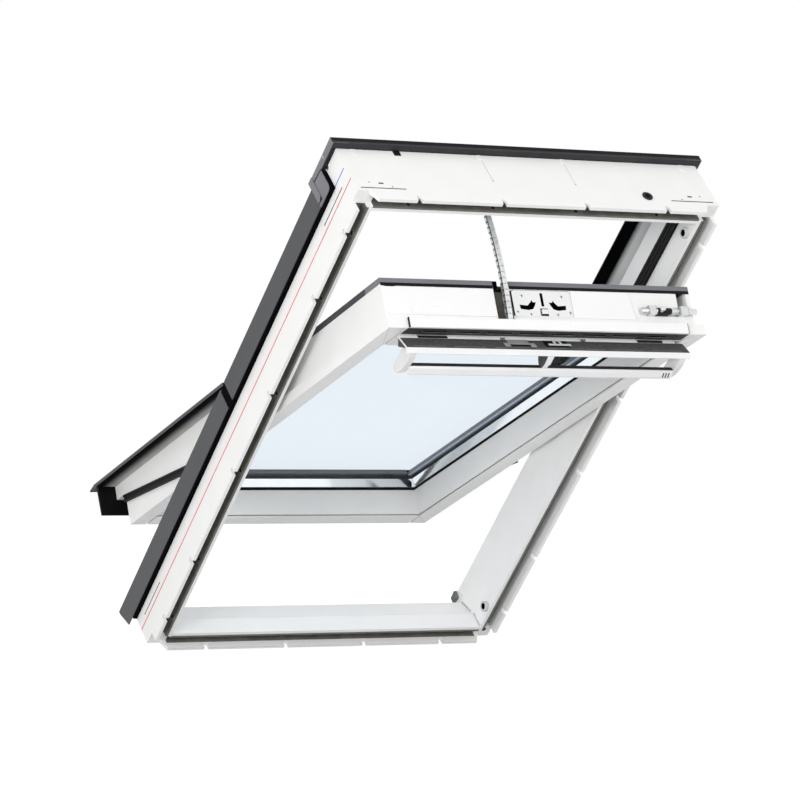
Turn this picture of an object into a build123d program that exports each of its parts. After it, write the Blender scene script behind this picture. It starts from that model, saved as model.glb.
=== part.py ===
"""Centre-pivot roof window with a chain opener, built in one shared frame.

Frame coordinates are x across the window, s up the slope from the bottom outer edge and n out of the
room from the lip that the lining meets.  Sash coordinates have the same directions, measured from the
middle of the sash's room face.  The finished window stands at its roof pitch with the sash open.
"""
import os
from math import cos, hypot, radians, sin

from build123d import *

# Frame, millimetres
WIDTH = 780.0
LENGTH = 1178.0
DEPTH = 134.0
PITCH = 45.0
MEMBER = 37.6
LIP = 7.0
LIP_RISE = 20.8
GROOVE_IN = 26.5
GROOVE_FLOOR = 28.0
INNER_LIP = 10.0
PATCH = 29.5
TOP_CHAMFER = 9.6
TOP_RECESS = 8.0
TOP_LIP = (32.0, 40.0)
SILL_SINK = (86.0, 80.0)
SILL_BEVEL = 4.6
SILL_BACK = 20.0
SILL_TOP_SINK = 38.0
LIP_END = (0.6, 11.6)
NOTCH_RADIUS = 5.0
NOTCH_RISE = 8.0
NOTCH_ACROSS_SHARES = (-0.3436, -0.1147, 0.1147, 0.3436)
NOTCH_ALONG_SHARES = (0.0747, 0.2105, 0.4143, 0.5857, 0.7895, 0.9253)
HALF = WIDTH / 2
MIDDLE = LENGTH / 2
INNER = HALF - MEMBER
HEAD = LENGTH - MEMBER

# Pivot line and the place of the closed sash in the frame
PIVOT_RISE = 42.0
SASH_SINK = 81.0
SASH_DROP = 2.0
OPEN_ANGLE = 25.83
PIVOT_S = MIDDLE
PIVOT_UP = DEPTH + PIVOT_RISE
SASH_S = MIDDLE - SASH_DROP
SASH_UP = DEPTH - SASH_SINK

# Inclined rebate on the lower half of the frame sides
REBATE = 3.2
REBATE_FOOT = 30.0
REBATE_SHORT = 29.0
REBATE_FOOT_SINK = 34.0
REBATE_HEAD_SINK = 61.0

# Sheet covers of the frame
SHEET = 1.5
COVER_OFF = 10.0
COVER_HANG = 46.5
COVER_PAST = 32.0
COVER_SLANT = 14.0
SHELF_WIDE = 36.0
SHELF_FOOT = 5.0
SPLIT_BELOW = 15.0
SPLIT_ABOVE = 7.0
KNEE = (16.0, 9.0)
CREST = (48.0, 26.5)
LAP = 79.0
LID_LONG = 99.0
LID_OFF = 0.5
LID_WIDE = 34.5
LID_HANG = 48.0
LID_RISE = 16.0
LID_STRIP = 15.0
LID_CHEEK = 46.5
LID_CORNER = 8.0
LID_TAB = (15.0, 39.0, 7.0)
LID_STEP_IN = 1.4
CASING_PAST = 12.5
CASING_HANG = 2.5
CASING_BEND = 13.0
CASING_CREST = 56.0
CASING_RISE = 27.5
FOAM_SINK = (50.0, 3.0)
FOAM_FOOT = 2.0
FOAM_PAST = 2.0
TOP_FOAM = (26.0, 4.0)
SEAL_SINK = (79.0, 52.5)
SEAL_PROUD = 6.4
SEAL_ABOVE = 51.0
SEAL_RIBS = 3
SEAL_RIB = 1.6
COVER_HALF = HALF + COVER_OFF
LID_HALF = COVER_HALF + LID_OFF
LID_IN = LID_HALF - LID_WIDE
LID_FOOT = LENGTH - LID_LONG
LID_TOP = DEPTH + LID_RISE
LID_EDGE = LID_FOOT + LID_CHEEK
CASING_OUT = LENGTH + CASING_PAST
CASING_TOP = DEPTH + CASING_RISE

# Sash
SASH_GAP = 10.8
FOOT_GAP = 2.4
HEAD_GAP = 7.4
LOCK_BACK = 18.5
FLANGE = 20.0
STILE = 38.6
STILE_IN = 8.2
STILE_SPLIT = 46.0
FOOT_RAIL = 44.6
HEAD_RAIL = 91.0
SASH_DEPTH = 91.0
LOW_RISE = 10.0
EDGE_STEP = 5.0
GLASS_SINK = 31.0
GLASS_REBATE = 22.0
NOSE_PAST = 1.0
NOSE_DEEP = 35.0
FRONT_STRIP = 5.0
FRONT_SHORT = 3.4
SASH_HALF = INNER - SASH_GAP
SASH_LOW_DEPTH = SASH_DEPTH + LOW_RISE
GLASS_LEDGE = SASH_DEPTH - GLASS_SINK
NOSE_LOW = SASH_LOW_DEPTH - NOSE_DEEP
SASH_FOOT = MEMBER + FOOT_GAP - SASH_S
SASH_HEAD = HEAD - HEAD_GAP - SASH_S
LOCK_FACE = SASH_HEAD - LOCK_BACK
DAYLIGHT = SASH_HALF - STILE
DAYLIGHT_FOOT = SASH_FOOT + FOOT_RAIL
DAYLIGHT_HEAD = SASH_HEAD - HEAD_RAIL
NOSE_FOOT = -SASH_S - NOSE_PAST
FRONT_HALF = DAYLIGHT - FRONT_SHORT

# Glazing unit
EDGE_SEAL = 2.0
PANE = 4.0
CAVITY = 16.0
UNIT_GAP = 3.0
SPACER_IN = 7.0
SPACER_WIDTH = 8.0
SEAL_WIDTH = 20.0
OUTER_SEAL_WIDTH = 24.0

# Sheet covers of the sash
SASH_COVER_RISE = 12.0
LOW_COVER_IN = 8.0
LOW_COVER_RISE = 5.5
COVER_BEND_IN = 3.0
COVER_GLASS_IN = 16.0
COVER_SEAT_SINK = 1.7
WEATHER_SEAL = 2.0
HEAD_BEND_PAST = 17.0
HEAD_GLASS_PAST = 3.0
FOOT_BEND_PAST = 2.4
FOOT_GLASS_PAST = 15.4
FOOT_KNEE_PAST = 12.0
FOOT_END_PAST = 34.0
FOOT_FALL = 6.0
FOOT_HANG = 8.5
COVER_SPLIT = (-12.0, 4.0)
DRIP_IN = 2.0
DRIP_THICK = 4.0
DRIP_HANG = 32.0
DRIP_BACK = 8.0
SASH_COVER_HALF = SASH_HALF - STILE_IN
SASH_COVER_TOP = SASH_DEPTH + SASH_COVER_RISE
LOW_COVER_EDGE = SASH_DEPTH + LOW_COVER_RISE
COVER_SEAT = SASH_DEPTH - COVER_SEAT_SINK
WEATHER_TOP = GLASS_LEDGE + EDGE_SEAL + PANE + CAVITY + PANE + WEATHER_SEAL
FOOT_DROP = SASH_COVER_TOP - FOOT_FALL
FOOT_EDGE = SASH_COVER_TOP - FOOT_HANG
DRIP_LOW = NOSE_LOW - DRIP_HANG
LOW_COVER_HALF = HALF - LOW_COVER_IN
COVER_BEND = DAYLIGHT - COVER_BEND_IN
COVER_GLASS = DAYLIGHT - COVER_GLASS_IN
HEAD_BEND = DAYLIGHT_HEAD + HEAD_BEND_PAST
HEAD_GLASS = DAYLIGHT_HEAD + HEAD_GLASS_PAST
FOOT_BEND = DAYLIGHT_FOOT + FOOT_BEND_PAST
FOOT_GLASS = DAYLIGHT_FOOT + FOOT_GLASS_PAST
FOOT_KNEE = NOSE_FOOT - FOOT_KNEE_PAST
FOOT_END = NOSE_FOOT - FOOT_END_PAST
DRIP_HALF = LOW_COVER_HALF - DRIP_IN

# Inclined seal on the lower stiles
RAMP_START = 1.0
RAMP_LONG_SHARE = 0.311
RAMP_TOP = 61.5
RAMP_FALL = 46.8
RAMP_THICK = 14.0
RAMP_PROUD = 8.0
RAMP_RIB = 2.0
RAMP_RIBS = 3
RAMP_FOOT = SASH_FOOT + RAMP_START
RAMP_HEAD = SASH_FOOT * RAMP_LONG_SHARE

# Curved-track pivot hinges
TRACK_IN = 78.0
TRACK_OUT = 86.0
TRACK_ANGLES = (-44.0, 18.0)
TRACK_DEEP = 3.4
PLATE_THICK = 5.4
PLATE_BELOW = 65.0
PLATE_ABOVE = 33.0
PLATE_SINK = (52.0, 11.0)
SHOE_ANGLES = (-11.0, 11.0)
SHOE_SIDE = 0.35
SHOE_PLATE = 4.4
SHOE_REACH = 2.4
SHOE_S = (-38.0, 40.0)
SHOE_UP = (26.0, 78.0)

# Barrel bolt
BOLT_OFF = 6.5
BOLT_UP = 49.8
BOLT_RADIUS = 6.0
BOLT_SHORT = 16.7
BOLT_LONG = 122.2
BOLT_FIT = 0.08
GUIDE_BACK = ((107.7, 91.7), (37.7, 19.7))
GUIDE_HIGH = 14.0
GUIDE_BASE = 0.5
GUIDE_UP = (41.5, 58.0)
KNOB_BACK = 79.7
KNOB_RADIUS = 4.0
KNOB_LONG = 15.0
BUSH_BELOW = 30.5
LOW_BUSH_S = 84.0
BUSH_FLANGE = 11.0
BUSH_SLEEVE = 9.0
BUSH_BORE = 6.6
BUSH_PROUD = 7.6
BUSH_DEEP = 9.6
BOLT_S = LOCK_FACE + BOLT_OFF
BUSH_UP = DEPTH - SEAL_SINK[0] - BUSH_BELOW
BOLT_TIP = INNER - BOLT_SHORT
BOLT_TAIL = BOLT_TIP - BOLT_LONG

# Lock, covers and opener in the top rail
PLATE_LOCK = 3.0
LOCK_MARGIN = 6.0
CASE_MARGIN = 4.0
OPENER_MARGIN = 7.0
COVER_MARGIN = 5.0
LOCK_X = (-61.0, 65.0)
LOCK_UP = (34.0, SASH_DEPTH - LOCK_MARGIN)
LOCK_ROUND = 6.0
LOCK_CENTRE = 2.0
LOCK_SLOT = (6.0, 26.0)
LOCK_SLOT_OFF = 8.0
HORN_SLOT = ((50.0, -2.5), (33.0, -4.0), (26.0, 2.5), (23.0, 6.9), (20.5, 2.5), (14.0, 3.0), (17.0, -3.5),
             (22.0, -10.5), (32.0, -12.9), (49.0, -11.0))
LOCK_SCREW_X = (43.0, 57.0, 29.0)
LOCK_SCREW_SHARES = (0.784, 0.167, 0.080)
CASE_IN = 11.0
CASE_LONG = 39.5
CASE_UP = (LOCK_UP[0] + CASE_MARGIN, LOCK_UP[1] - CASE_MARGIN)
CASE_WALL = 3.0
HOOK_HALF = 6.0
HOOK_UP = (38.0, 47.0)
HOOK_PROUD = 5.0
COVER_PLATE = 2.5
SLOT_X = (-97.0, -62.5)
SLOT_LONG = 24.5
OPENER_IN = 4.0
OPENER_GAP = 3.0
OPENER_LONG = 41.5
OPENER_UP = (28.0, SASH_DEPTH - OPENER_MARGIN)
LEFT_COVER_IN = 3.4
LEFT_COVER_GAP = 1.5
RIGHT_COVER_GAP = 2.0
RIGHT_COVER_SHORT = 10.5
RIGHT_COVER_SLANT = 8.0
COVER_UP = (33.0, SASH_DEPTH - COVER_MARGIN)
LABEL_PLACE = (51.0, 130.0)
LABEL_UP = (37.0, 49.0)
LABEL_DEEP = 0.8
VENTS = 8
VENT_PITCH_SHARE = 0.2244
VENT_LONG_SHARE = 0.1716
VENT_WIDE = 7.0
VENT_BACK = 16.0
VENT_DEEP = 14.0
LEFT_COVER_X = (LEFT_COVER_IN - SASH_COVER_HALF, SLOT_X[0] - LEFT_COVER_GAP)
RIGHT_COVER_X = (LOCK_X[1] + RIGHT_COVER_GAP, BOLT_TAIL - RIGHT_COVER_SHORT)
OPENER_X = (OPENER_IN - DAYLIGHT, SLOT_X[0] - OPENER_GAP)
CASE_X = (LOCK_X[0] + CASE_IN, LOCK_X[1] - CASE_IN)

# Ventilation flap and grab bar, drawn shut, measured from the flap axis
FLAP_BACK = 36.0
FLAP_DROP = 5.0
FLAP_ANGLE = 53.0
FLAP_PAST = 2.0
FLAP_OUTLINE = ((1.5, 3.0), (36.8, 3.0), (44.1, -5.2), (41.4, -7.6), (34.4, 0.0), (1.5, 0.0))
FLAP_ROD = 2.5
FLAP_FIT = 0.07
FLAP_BARREL = 4.3
CLIP_IN = 9.0
CLIP_SHARE = 0.285
CLIP_HALF = 6.0
CLIP_REACH = 5.0
CLIP_GAP = 0.5
CLIP_CLEAR = 9.0
BAR_IN = 21.0
BAR_CENTRE = (28.0, -48.0)
BAR_SIZE = (14.0, 21.0)
BAR_ROUND = 6.0
CAP_THICK = 13.0
CAP_OUTLINE = ((7.0, -0.2), (34.0, -0.2), (40.8, -7.8), (41.4, -11.0), (40.3, -21.0), (38.0, -30.0),
               (34.5, -39.0), (29.5, -49.0), (23.0, -58.5), (15.0, -64.5), (6.5, -65.0), (1.5, -60.0),
               (3.0, -49.0), (6.0, -38.0), (8.0, -26.0), (8.0, -12.0))
STAY_X = (-6.0, 5.0)
STAY_OUTLINE = ((9.0, -0.2), (34.0, -0.2), (40.8, -7.8), (41.4, -11.0), (40.3, -21.0), (38.0, -30.0),
                (34.5, -37.2), (21.5, -37.2), (15.0, -30.0), (11.5, -20.0), (9.5, -10.0))
CATCH_X = (8.0, 32.0)
CATCH_OUTLINE = ((5.5, -0.2), (15.0, -0.2), (15.0, -1.8), (8.5, -3.0), (6.5, -9.0), (4.0, -9.0))
FLAP_S = SASH_HEAD - FLAP_BACK
FLAP_UP = -FLAP_DROP
FLAP_HALF = DAYLIGHT + FLAP_PAST
BAR_HALF = FLAP_HALF - BAR_IN
CLIP_END = FLAP_HALF - CLIP_IN
CLIP_X = (-CLIP_END, -FLAP_HALF * CLIP_SHARE, FLAP_HALF * CLIP_SHARE, CLIP_END)

# Push chain and its frame bracket
CHAIN_X = -76.0
CHAIN_START = (3.5, 25.5)
CHAIN_END = (28.0, 52.0)
CHAIN_BOW = -9.5
CHAIN_LINKS = 21
LINK_HIGH = 4.2
LINK_OVER = 3.6
LINK_PLATE = 1.5
INNER_AT = 1.9
OUTER_AT = 3.7
LINK_PIN = 1.2
LINK_FIT = 0.1
LINK_BUSH = 2.4
LUG_GAP = 5.4
LUG_THICK = 4.0
LUG_HALF = (6.0, 10.0)
LUG_REACH = 5.5
LUG_FOOT = 3.0
LUG_FOOT_HIGH = (8.0, 36.0)
LUG_FOOT_HALF = 14.0
LUG_PIN = 2.2
CHAIN_HIGH = (HEAD - CHAIN_END[0], DEPTH - CHAIN_END[1])

# Strike, cable grommet and small fittings
STRIKE_HALF = 47.0
STRIKE_SINK = (50.0, 10.0)
STRIKE_PLATE = 3.0
STRIKE_HORN = (8.0, 26.0)
HORN_SINK = (38.0, 22.0)
STRIKE_REACH = 16.4
CABLE_SHARE = 0.3036
CABLE_UP = 38.5
CABLE_HOLE = 6.8
CABLE_BORE = 5.0
CABLE_FLANGE = 10.5
CABLE_PROUD = 2.0
CABLE_SLEEVE = 26.0
SCREW_RADIUS = 3.4
SCREW_HIGH = 1.0
CABLE_X = WIDTH * CABLE_SHARE

OVER = 2.0
SEAT = 0.2


def slab(x, s, n):
    """A box between low and high limits in x, s and n."""
    middle = ((x[0] + x[1]) / 2, -(s[0] + s[1]) / 2, (n[0] + n[1]) / 2)
    return Pos(*middle) * Box(x[1] - x[0], s[1] - s[0], n[1] - n[0])


def along_x(outline, x):
    """An outline of (s, n) points drawn out along x."""
    plane = Plane(origin=(x[0], 0, 0), x_dir=(0, -1, 0), z_dir=(1, 0, 0))
    shape = plane * Polygon(*[(s, -n) for s, n in outline], align=None)
    return extrude(shape, amount=x[1] - x[0], dir=plane.z_dir)


def along_s(outline, s):
    """An outline of (x, n) points drawn out along s."""
    plane = Plane(origin=(0, -s[0], 0), x_dir=(1, 0, 0), z_dir=(0, -1, 0))
    shape = plane * Polygon(*outline, align=None)
    return extrude(shape, amount=s[1] - s[0], dir=plane.z_dir)


def rod_x(x, s, n, radius):
    """A cylinder lying along x."""
    return Pos((x[0] + x[1]) / 2, -s, n) * Rot(0, 90, 0) * Cylinder(radius, x[1] - x[0])


def rod_s(x, s, n, radius):
    """A cylinder lying along the slope."""
    return Pos(x, -(s[0] + s[1]) / 2, n) * Rot(90, 0, 0) * Cylinder(radius, s[1] - s[0])


def sheet(path, thick):
    """The closed outline of a folded sheet whose outer side follows the path."""
    normals = []
    for (a, b), (c, d) in zip(path, path[1:]):
        run = hypot(c - a, d - b)
        normals.append(((d - b) / run, (a - c) / run))
    inner = []
    for index, (a, b) in enumerate(path):
        before = normals[max(index - 1, 0)]
        after = normals[min(index, len(normals) - 1)]
        scale = thick / (1 + before[0] * after[0] + before[1] * after[1])
        inner.append((a + (before[0] + after[0]) * scale, b + (before[1] + after[1]) * scale))
    return list(path) + inner[::-1]


def flipped(outline):
    """An outline of (x, n) points taken to the other side of the middle."""
    return [(-x, n) for x, n in outline]


def ring(x_half, s, n, wide):
    """A rectangular ring lying flat, its outer limits given."""
    outer = slab((-x_half, x_half), s, n)
    hole = slab((wide - x_half, x_half - wide), (s[0] + wide, s[1] - wide), (n[0] - OVER, n[1] + OVER))
    return outer - hole


def arc_band(x, radii, span):
    """A curved band about the pivot line, its angles measured from straight into the room."""
    past = (x[0] - OVER, x[1] + OVER)
    band = rod_x(x, PIVOT_S, PIVOT_UP, radii[1]) - rod_x(past, PIVOT_S, PIVOT_UP, radii[0])
    far = radii[1] / cos(radians((span[1] - span[0]) / 4)) + OVER
    corners = [(PIVOT_S, PIVOT_UP)]
    for share in (0, 1 / 2, 1):
        turn = radians(span[0] + (span[1] - span[0]) * share)
        corners.append((PIVOT_S + far * sin(turn), PIVOT_UP - far * cos(turn)))
    return band & along_x(corners, past)


def both_sides(build):
    """The right-hand piece and its mirror image."""
    piece = build()
    return mirror(piece, about=Plane.YZ), piece


def lip_cut_across(x, s):
    """A half-round notch through a lip that runs across."""
    wide = (x - NOTCH_RADIUS, x + NOTCH_RADIUS)
    return rod_s(x, s, NOTCH_RISE, NOTCH_RADIUS) + slab(wide, s, (-OVER, NOTCH_RISE))


def lip_cut_along(s, x):
    """A half-round notch through a lip that runs up the slope."""
    wide = (s - NOTCH_RADIUS, s + NOTCH_RADIUS)
    return rod_x(x, s, NOTCH_RISE, NOTCH_RADIUS) + slab(x, wide, (-OVER, NOTCH_RISE))


def bush_spot():
    """Where the bolt's own circle about the pivot meets the height of the upper bush."""
    reach = hypot(SASH_S + BOLT_S - PIVOT_S, SASH_UP + BOLT_UP - PIVOT_UP)
    drop = PIVOT_UP - BUSH_UP
    return PIVOT_S + (reach ** 2 - drop ** 2) ** (1 / 2)


def side_member(bushes):
    """One side of the frame with its lining groove, corner patches and seal rebate."""
    outline = [(HALF, 0), (HALF, DEPTH), (INNER + TOP_CHAMFER, DEPTH), (INNER, DEPTH - TOP_CHAMFER),
               (INNER, INNER_LIP), (HALF - GROOVE_IN, INNER_LIP), (HALF - GROOVE_IN, GROOVE_FLOOR),
               (HALF - LIP, GROOVE_FLOOR), (HALF - LIP, 0)]
    end = [(HALF, LIP_RISE), (HALF, DEPTH), (INNER + TOP_CHAMFER, DEPTH), (INNER, DEPTH - TOP_CHAMFER),
           (INNER, LIP_RISE)]
    side = along_s(outline, (PATCH, LENGTH - PATCH))
    side += along_s(end, (0, PATCH))
    side += along_s(end, (LENGTH - PATCH, LENGTH))
    rebate_head = PIVOT_S - REBATE_SHORT
    rebate = [(REBATE_FOOT, DEPTH - REBATE_FOOT_SINK), (rebate_head, DEPTH - REBATE_HEAD_SINK),
              (rebate_head, DEPTH + OVER), (REBATE_FOOT, DEPTH + OVER)]
    side -= along_x(rebate, (INNER - OVER, INNER + REBATE))
    for share in NOTCH_ALONG_SHARES:
        side -= lip_cut_along(LENGTH * share, (HALF - LIP - OVER, HALF + OVER))
    for s in bushes:
        side -= rod_x((INNER - OVER, INNER + BUSH_DEEP), s, BUSH_UP, BUSH_SLEEVE)
    return side


def lip_ends(s):
    """The slanted ends of a lip that runs across, on both corner patches."""
    end = [(INNER, 0), (INNER + LIP_END[0], 0), (INNER + LIP_END[1], LIP_RISE), (INNER, LIP_RISE)]
    return along_s(end, s) + along_s(flipped(end), s)


def top_member():
    """The head of the frame: a block with the cable hole over the two lips of its lining groove."""
    outline = [(LENGTH, GROOVE_FLOOR), (LENGTH, DEPTH), (HEAD + TOP_RECESS, DEPTH),
               (HEAD + TOP_RECESS, TOP_LIP[1]), (HEAD, TOP_LIP[0]), (HEAD, GROOVE_FLOOR)]
    block = along_x(outline, (-INNER, INNER))
    block -= rod_s(CABLE_X, (HEAD - OVER, LENGTH + OVER), CABLE_UP, CABLE_HOLE)
    lip = slab((-INNER, INNER), (LENGTH - LIP, LENGTH), (0, GROOVE_FLOOR)) + lip_ends((LENGTH - LIP, LENGTH))
    for share in NOTCH_ACROSS_SHARES:
        lip -= lip_cut_across(WIDTH * share, (LENGTH - LIP - OVER, LENGTH + OVER))
    inner = slab((-INNER, INNER), (HEAD, LENGTH - GROOVE_IN), (INNER_LIP, GROOVE_FLOOR))
    return Compound(children=[block, lip, inner])


def bottom_member():
    """The sill of the frame, bevelled to clear the foot of the sash."""
    outline = [(0, 0), (LIP, 0), (LIP, GROOVE_FLOOR), (GROOVE_IN, GROOVE_FLOOR), (GROOVE_IN, INNER_LIP),
               (MEMBER, INNER_LIP), (MEMBER, DEPTH - SILL_SINK[0]),
               (MEMBER - SILL_BEVEL, DEPTH - SILL_SINK[1]), (SILL_BACK, DEPTH - SILL_TOP_SINK),
               (0, DEPTH - SILL_TOP_SINK)]
    sill = along_x(outline, (-INNER, INNER)) + lip_ends((0, LIP))
    for share in NOTCH_ACROSS_SHARES:
        sill -= lip_cut_across(WIDTH * share, (-OVER, LIP + OVER))
    return sill


def lower_cover():
    """The folded sheet on the lower half of one frame side."""
    low = DEPTH - COVER_HANG
    shelf = COVER_HALF - SHELF_WIDE
    path = [(shelf, DEPTH + SHEET), (COVER_HALF, DEPTH + SHEET), (COVER_HALF, low)]
    piece = along_s(sheet(path, SHEET), (-COVER_PAST, PIVOT_S - SPLIT_BELOW))
    slant = [(-COVER_PAST - OVER, low - OVER), (COVER_SLANT - COVER_PAST, low - OVER),
             (-COVER_PAST - OVER, DEPTH)]
    piece -= along_x(slant, (shelf - OVER, COVER_HALF + OVER))
    return piece - slab((shelf - OVER, COVER_HALF - SHEET), (-COVER_PAST - OVER, SHELF_FOOT),
                        (DEPTH - OVER, DEPTH + SHEET + OVER))


def upper_cover():
    """The folded sheet on the upper half of one frame side, lapping over the sash."""
    crest = DEPTH + CREST[1]
    path = [(COVER_HALF - LAP, crest), (COVER_HALF - CREST[0], crest),
            (COVER_HALF - KNEE[0], DEPTH + KNEE[1]), (COVER_HALF, DEPTH + SHEET),
            (COVER_HALF, DEPTH - COVER_HANG)]
    return along_s(sheet(path, SHEET), (PIVOT_S + SPLIT_ABOVE, LID_FOOT - SEAT))


def casing_lid():
    """The corner lid that closes one end of the head casing, with its screw tab at the foot."""
    low = DEPTH - LID_HANG
    strip = LID_TOP - LID_STRIP
    path = [(LID_IN, LID_TOP), (LID_HALF, LID_TOP), (LID_HALF, strip)]
    lid = along_s(sheet(path, SHEET), (LID_FOOT, CASING_OUT))
    cheek = [(LID_FOOT, strip + SHEET), (LID_FOOT, low), (LID_EDGE - LID_CORNER, low),
             (LID_EDGE - LID_CORNER / 3, low + LID_CORNER / 3), (LID_EDGE, low + LID_CORNER),
             (LID_EDGE, strip + SHEET)]
    lid += along_x(cheek, (LID_HALF - SHEET, LID_HALF))
    lid += slab((LID_IN, LID_HALF), (CASING_OUT - SHEET, CASING_OUT), (DEPTH + CASING_HANG, LID_TOP))
    wide, high, slant = LID_TAB
    tab = [(LID_FOOT, LID_TOP), (LID_FOOT, DEPTH - high), (LID_FOOT + wide - slant, DEPTH - high),
           (LID_FOOT + wide, DEPTH - high + slant), (LID_FOOT + wide, LID_TOP)]
    return lid + along_x(tab, (LID_HALF, LID_HALF + LID_STEP_IN))


def head_casing():
    """The raised sheet hood over the head of the frame and the top edge of the sash."""
    crest = LENGTH - CASING_CREST
    bend = LENGTH - CASING_BEND
    path = [(LID_FOOT, CASING_TOP), (crest, CASING_TOP), (bend, LID_TOP), (CASING_OUT, LID_TOP),
            (CASING_OUT, DEPTH + CASING_HANG)]
    hood = along_x(sheet(path, SHEET), (-LID_IN, LID_IN))
    cheek = [(LID_FOOT, LID_TOP), (LID_FOOT, CASING_TOP), (crest, CASING_TOP), (bend, LID_TOP)]
    hood += along_x(cheek, (LID_IN - SHEET, LID_IN))
    return hood + along_x(cheek, (-LID_IN, SHEET - LID_IN))


def frame_seal():
    """The ribbed seal strip on the upper half of one frame side."""
    low = DEPTH - SEAL_SINK[0]
    step = (SEAL_SINK[0] - SEAL_SINK[1]) / SEAL_RIBS
    proud = INNER - SEAL_PROUD
    outline = [(INNER, low)]
    for rib in range(SEAL_RIBS):
        base = low + step * rib
        top = base + step
        outline += [(proud, base), (proud, top - SEAL_RIB), (proud + SEAL_RIB, top - SEAL_RIB),
                    (proud + SEAL_RIB, top)]
    outline.append((INNER, low + step * SEAL_RIBS))
    return along_s(outline, (PIVOT_S + SEAL_ABOVE, HEAD))


def side_foam():
    """The foam strip between a frame side and its sheet cover."""
    return slab((HALF, COVER_HALF - SHEET), (FOAM_FOOT, LID_EDGE + FOAM_PAST),
                (DEPTH - FOAM_SINK[0], DEPTH - FOAM_SINK[1]))


def bolt_bush(s):
    """A flanged bush for the barrel bolt in the right frame side."""
    bush = rod_x((INNER - BUSH_PROUD, INNER), s, BUSH_UP, BUSH_FLANGE)
    bush += rod_x((INNER, INNER + BUSH_DEEP), s, BUSH_UP, BUSH_SLEEVE)
    return bush - rod_x((INNER - BUSH_PROUD - OVER, INNER + BUSH_DEEP + OVER), s, BUSH_UP, BUSH_BORE)


def track_plate():
    """The frame half of one pivot hinge, a plate with a curved track about the pivot line."""
    face = INNER - PLATE_THICK
    plate = slab((face, INNER), (PIVOT_S - PLATE_BELOW, PIVOT_S + PLATE_ABOVE),
                 (DEPTH - PLATE_SINK[0], DEPTH - PLATE_SINK[1]))
    return plate - arc_band((face - OVER, face + TRACK_DEEP), (TRACK_IN, TRACK_OUT), TRACK_ANGLES)


def shoe_plate():
    """The sash half of one pivot hinge, with the curved shoe that runs in the track."""
    face = SASH_HALF + SHOE_PLATE
    radii = (TRACK_IN + SHOE_SIDE, TRACK_OUT - SHOE_SIDE)
    shoe = arc_band((SASH_HALF, face + SHOE_REACH), radii, SHOE_ANGLES)
    shoe += slab((SASH_HALF, face), (SASH_S + SHOE_S[0], SASH_S + SHOE_S[1]),
                 (SASH_UP + SHOE_UP[0], SASH_UP + SHOE_UP[1]))
    return Pos(0, SASH_S, -SASH_UP) * shoe


def grommet():
    """The ring and sleeve that line the cable hole in the head."""
    ring_part = rod_s(CABLE_X, (LENGTH, LENGTH + CABLE_PROUD), CABLE_UP, CABLE_FLANGE)
    ring_part += rod_s(CABLE_X, (LENGTH - CABLE_SLEEVE, LENGTH), CABLE_UP, CABLE_HOLE)
    reach = (LENGTH - CABLE_SLEEVE - OVER, LENGTH + CABLE_PROUD + OVER)
    return ring_part - rod_s(CABLE_X, reach, CABLE_UP, CABLE_BORE)


def chain_bracket():
    """The fork on the head with the pin that holds the last link of the chain."""
    wall = HEAD + TOP_RECESS
    s, n = CHAIN_HIGH
    fork = slab((CHAIN_X - LUG_FOOT_HALF, CHAIN_X + LUG_FOOT_HALF), (wall - LUG_FOOT, wall),
                (n - LUG_FOOT_HIGH[0], n + LUG_FOOT_HIGH[1]))
    for side in (CHAIN_X - LUG_GAP - LUG_THICK, CHAIN_X + LUG_GAP):
        fork += slab((side, side + LUG_THICK), (s - LUG_REACH, wall - LUG_FOOT),
                     (n - LUG_HALF[0], n + LUG_HALF[1]))
    reach = (CHAIN_X - LUG_GAP - LUG_THICK, CHAIN_X + LUG_GAP + LUG_THICK)
    return fork + rod_x(reach, s, n, LUG_PIN)


def strike():
    """The strike plate on the head, its two horns facing the lock."""
    wall = HEAD + TOP_RECESS
    plate = slab((LOCK_CENTRE - STRIKE_HALF, LOCK_CENTRE + STRIKE_HALF), (wall - STRIKE_PLATE, wall),
                 (DEPTH - STRIKE_SINK[0], DEPTH - STRIKE_SINK[1]))
    for side in (-1, 1):
        edges = sorted((LOCK_CENTRE + side * STRIKE_HORN[0], LOCK_CENTRE + side * STRIKE_HORN[1]))
        plate += slab(edges, (HEAD - STRIKE_REACH, wall - STRIKE_PLATE),
                      (DEPTH - HORN_SINK[0], DEPTH - HORN_SINK[1]))
    return plate


def stile():
    """One side of the sash: slim above the pivot, full width below it."""
    edge = [(DAYLIGHT, GLASS_LEDGE), (DAYLIGHT, EDGE_STEP), (DAYLIGHT + EDGE_STEP, EDGE_STEP),
            (DAYLIGHT + EDGE_STEP, 0)]
    rebate = DAYLIGHT + GLASS_REBATE
    low = [(SASH_HALF, 0), (SASH_HALF, SASH_LOW_DEPTH), (rebate, SASH_LOW_DEPTH),
           (rebate, GLASS_LEDGE)] + edge
    high = [(SASH_HALF, 0), (SASH_HALF, FLANGE), (SASH_HALF - STILE_IN, FLANGE),
            (SASH_HALF - STILE_IN, SASH_DEPTH), (rebate, SASH_DEPTH), (rebate, GLASS_LEDGE)] + edge
    post = along_s(low, (SASH_FOOT, COVER_SPLIT[0]))
    middle = [(SASH_HALF, 0), (SASH_HALF, SASH_DEPTH), (rebate, SASH_DEPTH), (rebate, GLASS_LEDGE)] + edge
    post += along_s(middle, (COVER_SPLIT[0], STILE_SPLIT))
    post += along_s(high, (STILE_SPLIT, LOCK_FACE))
    post += slab((DAYLIGHT, SASH_HALF), (LOCK_FACE, SASH_HEAD), (0, FLANGE))
    return post + slab((DAYLIGHT, SASH_HALF), (NOSE_FOOT, SASH_FOOT), (NOSE_LOW, SASH_LOW_DEPTH))


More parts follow.
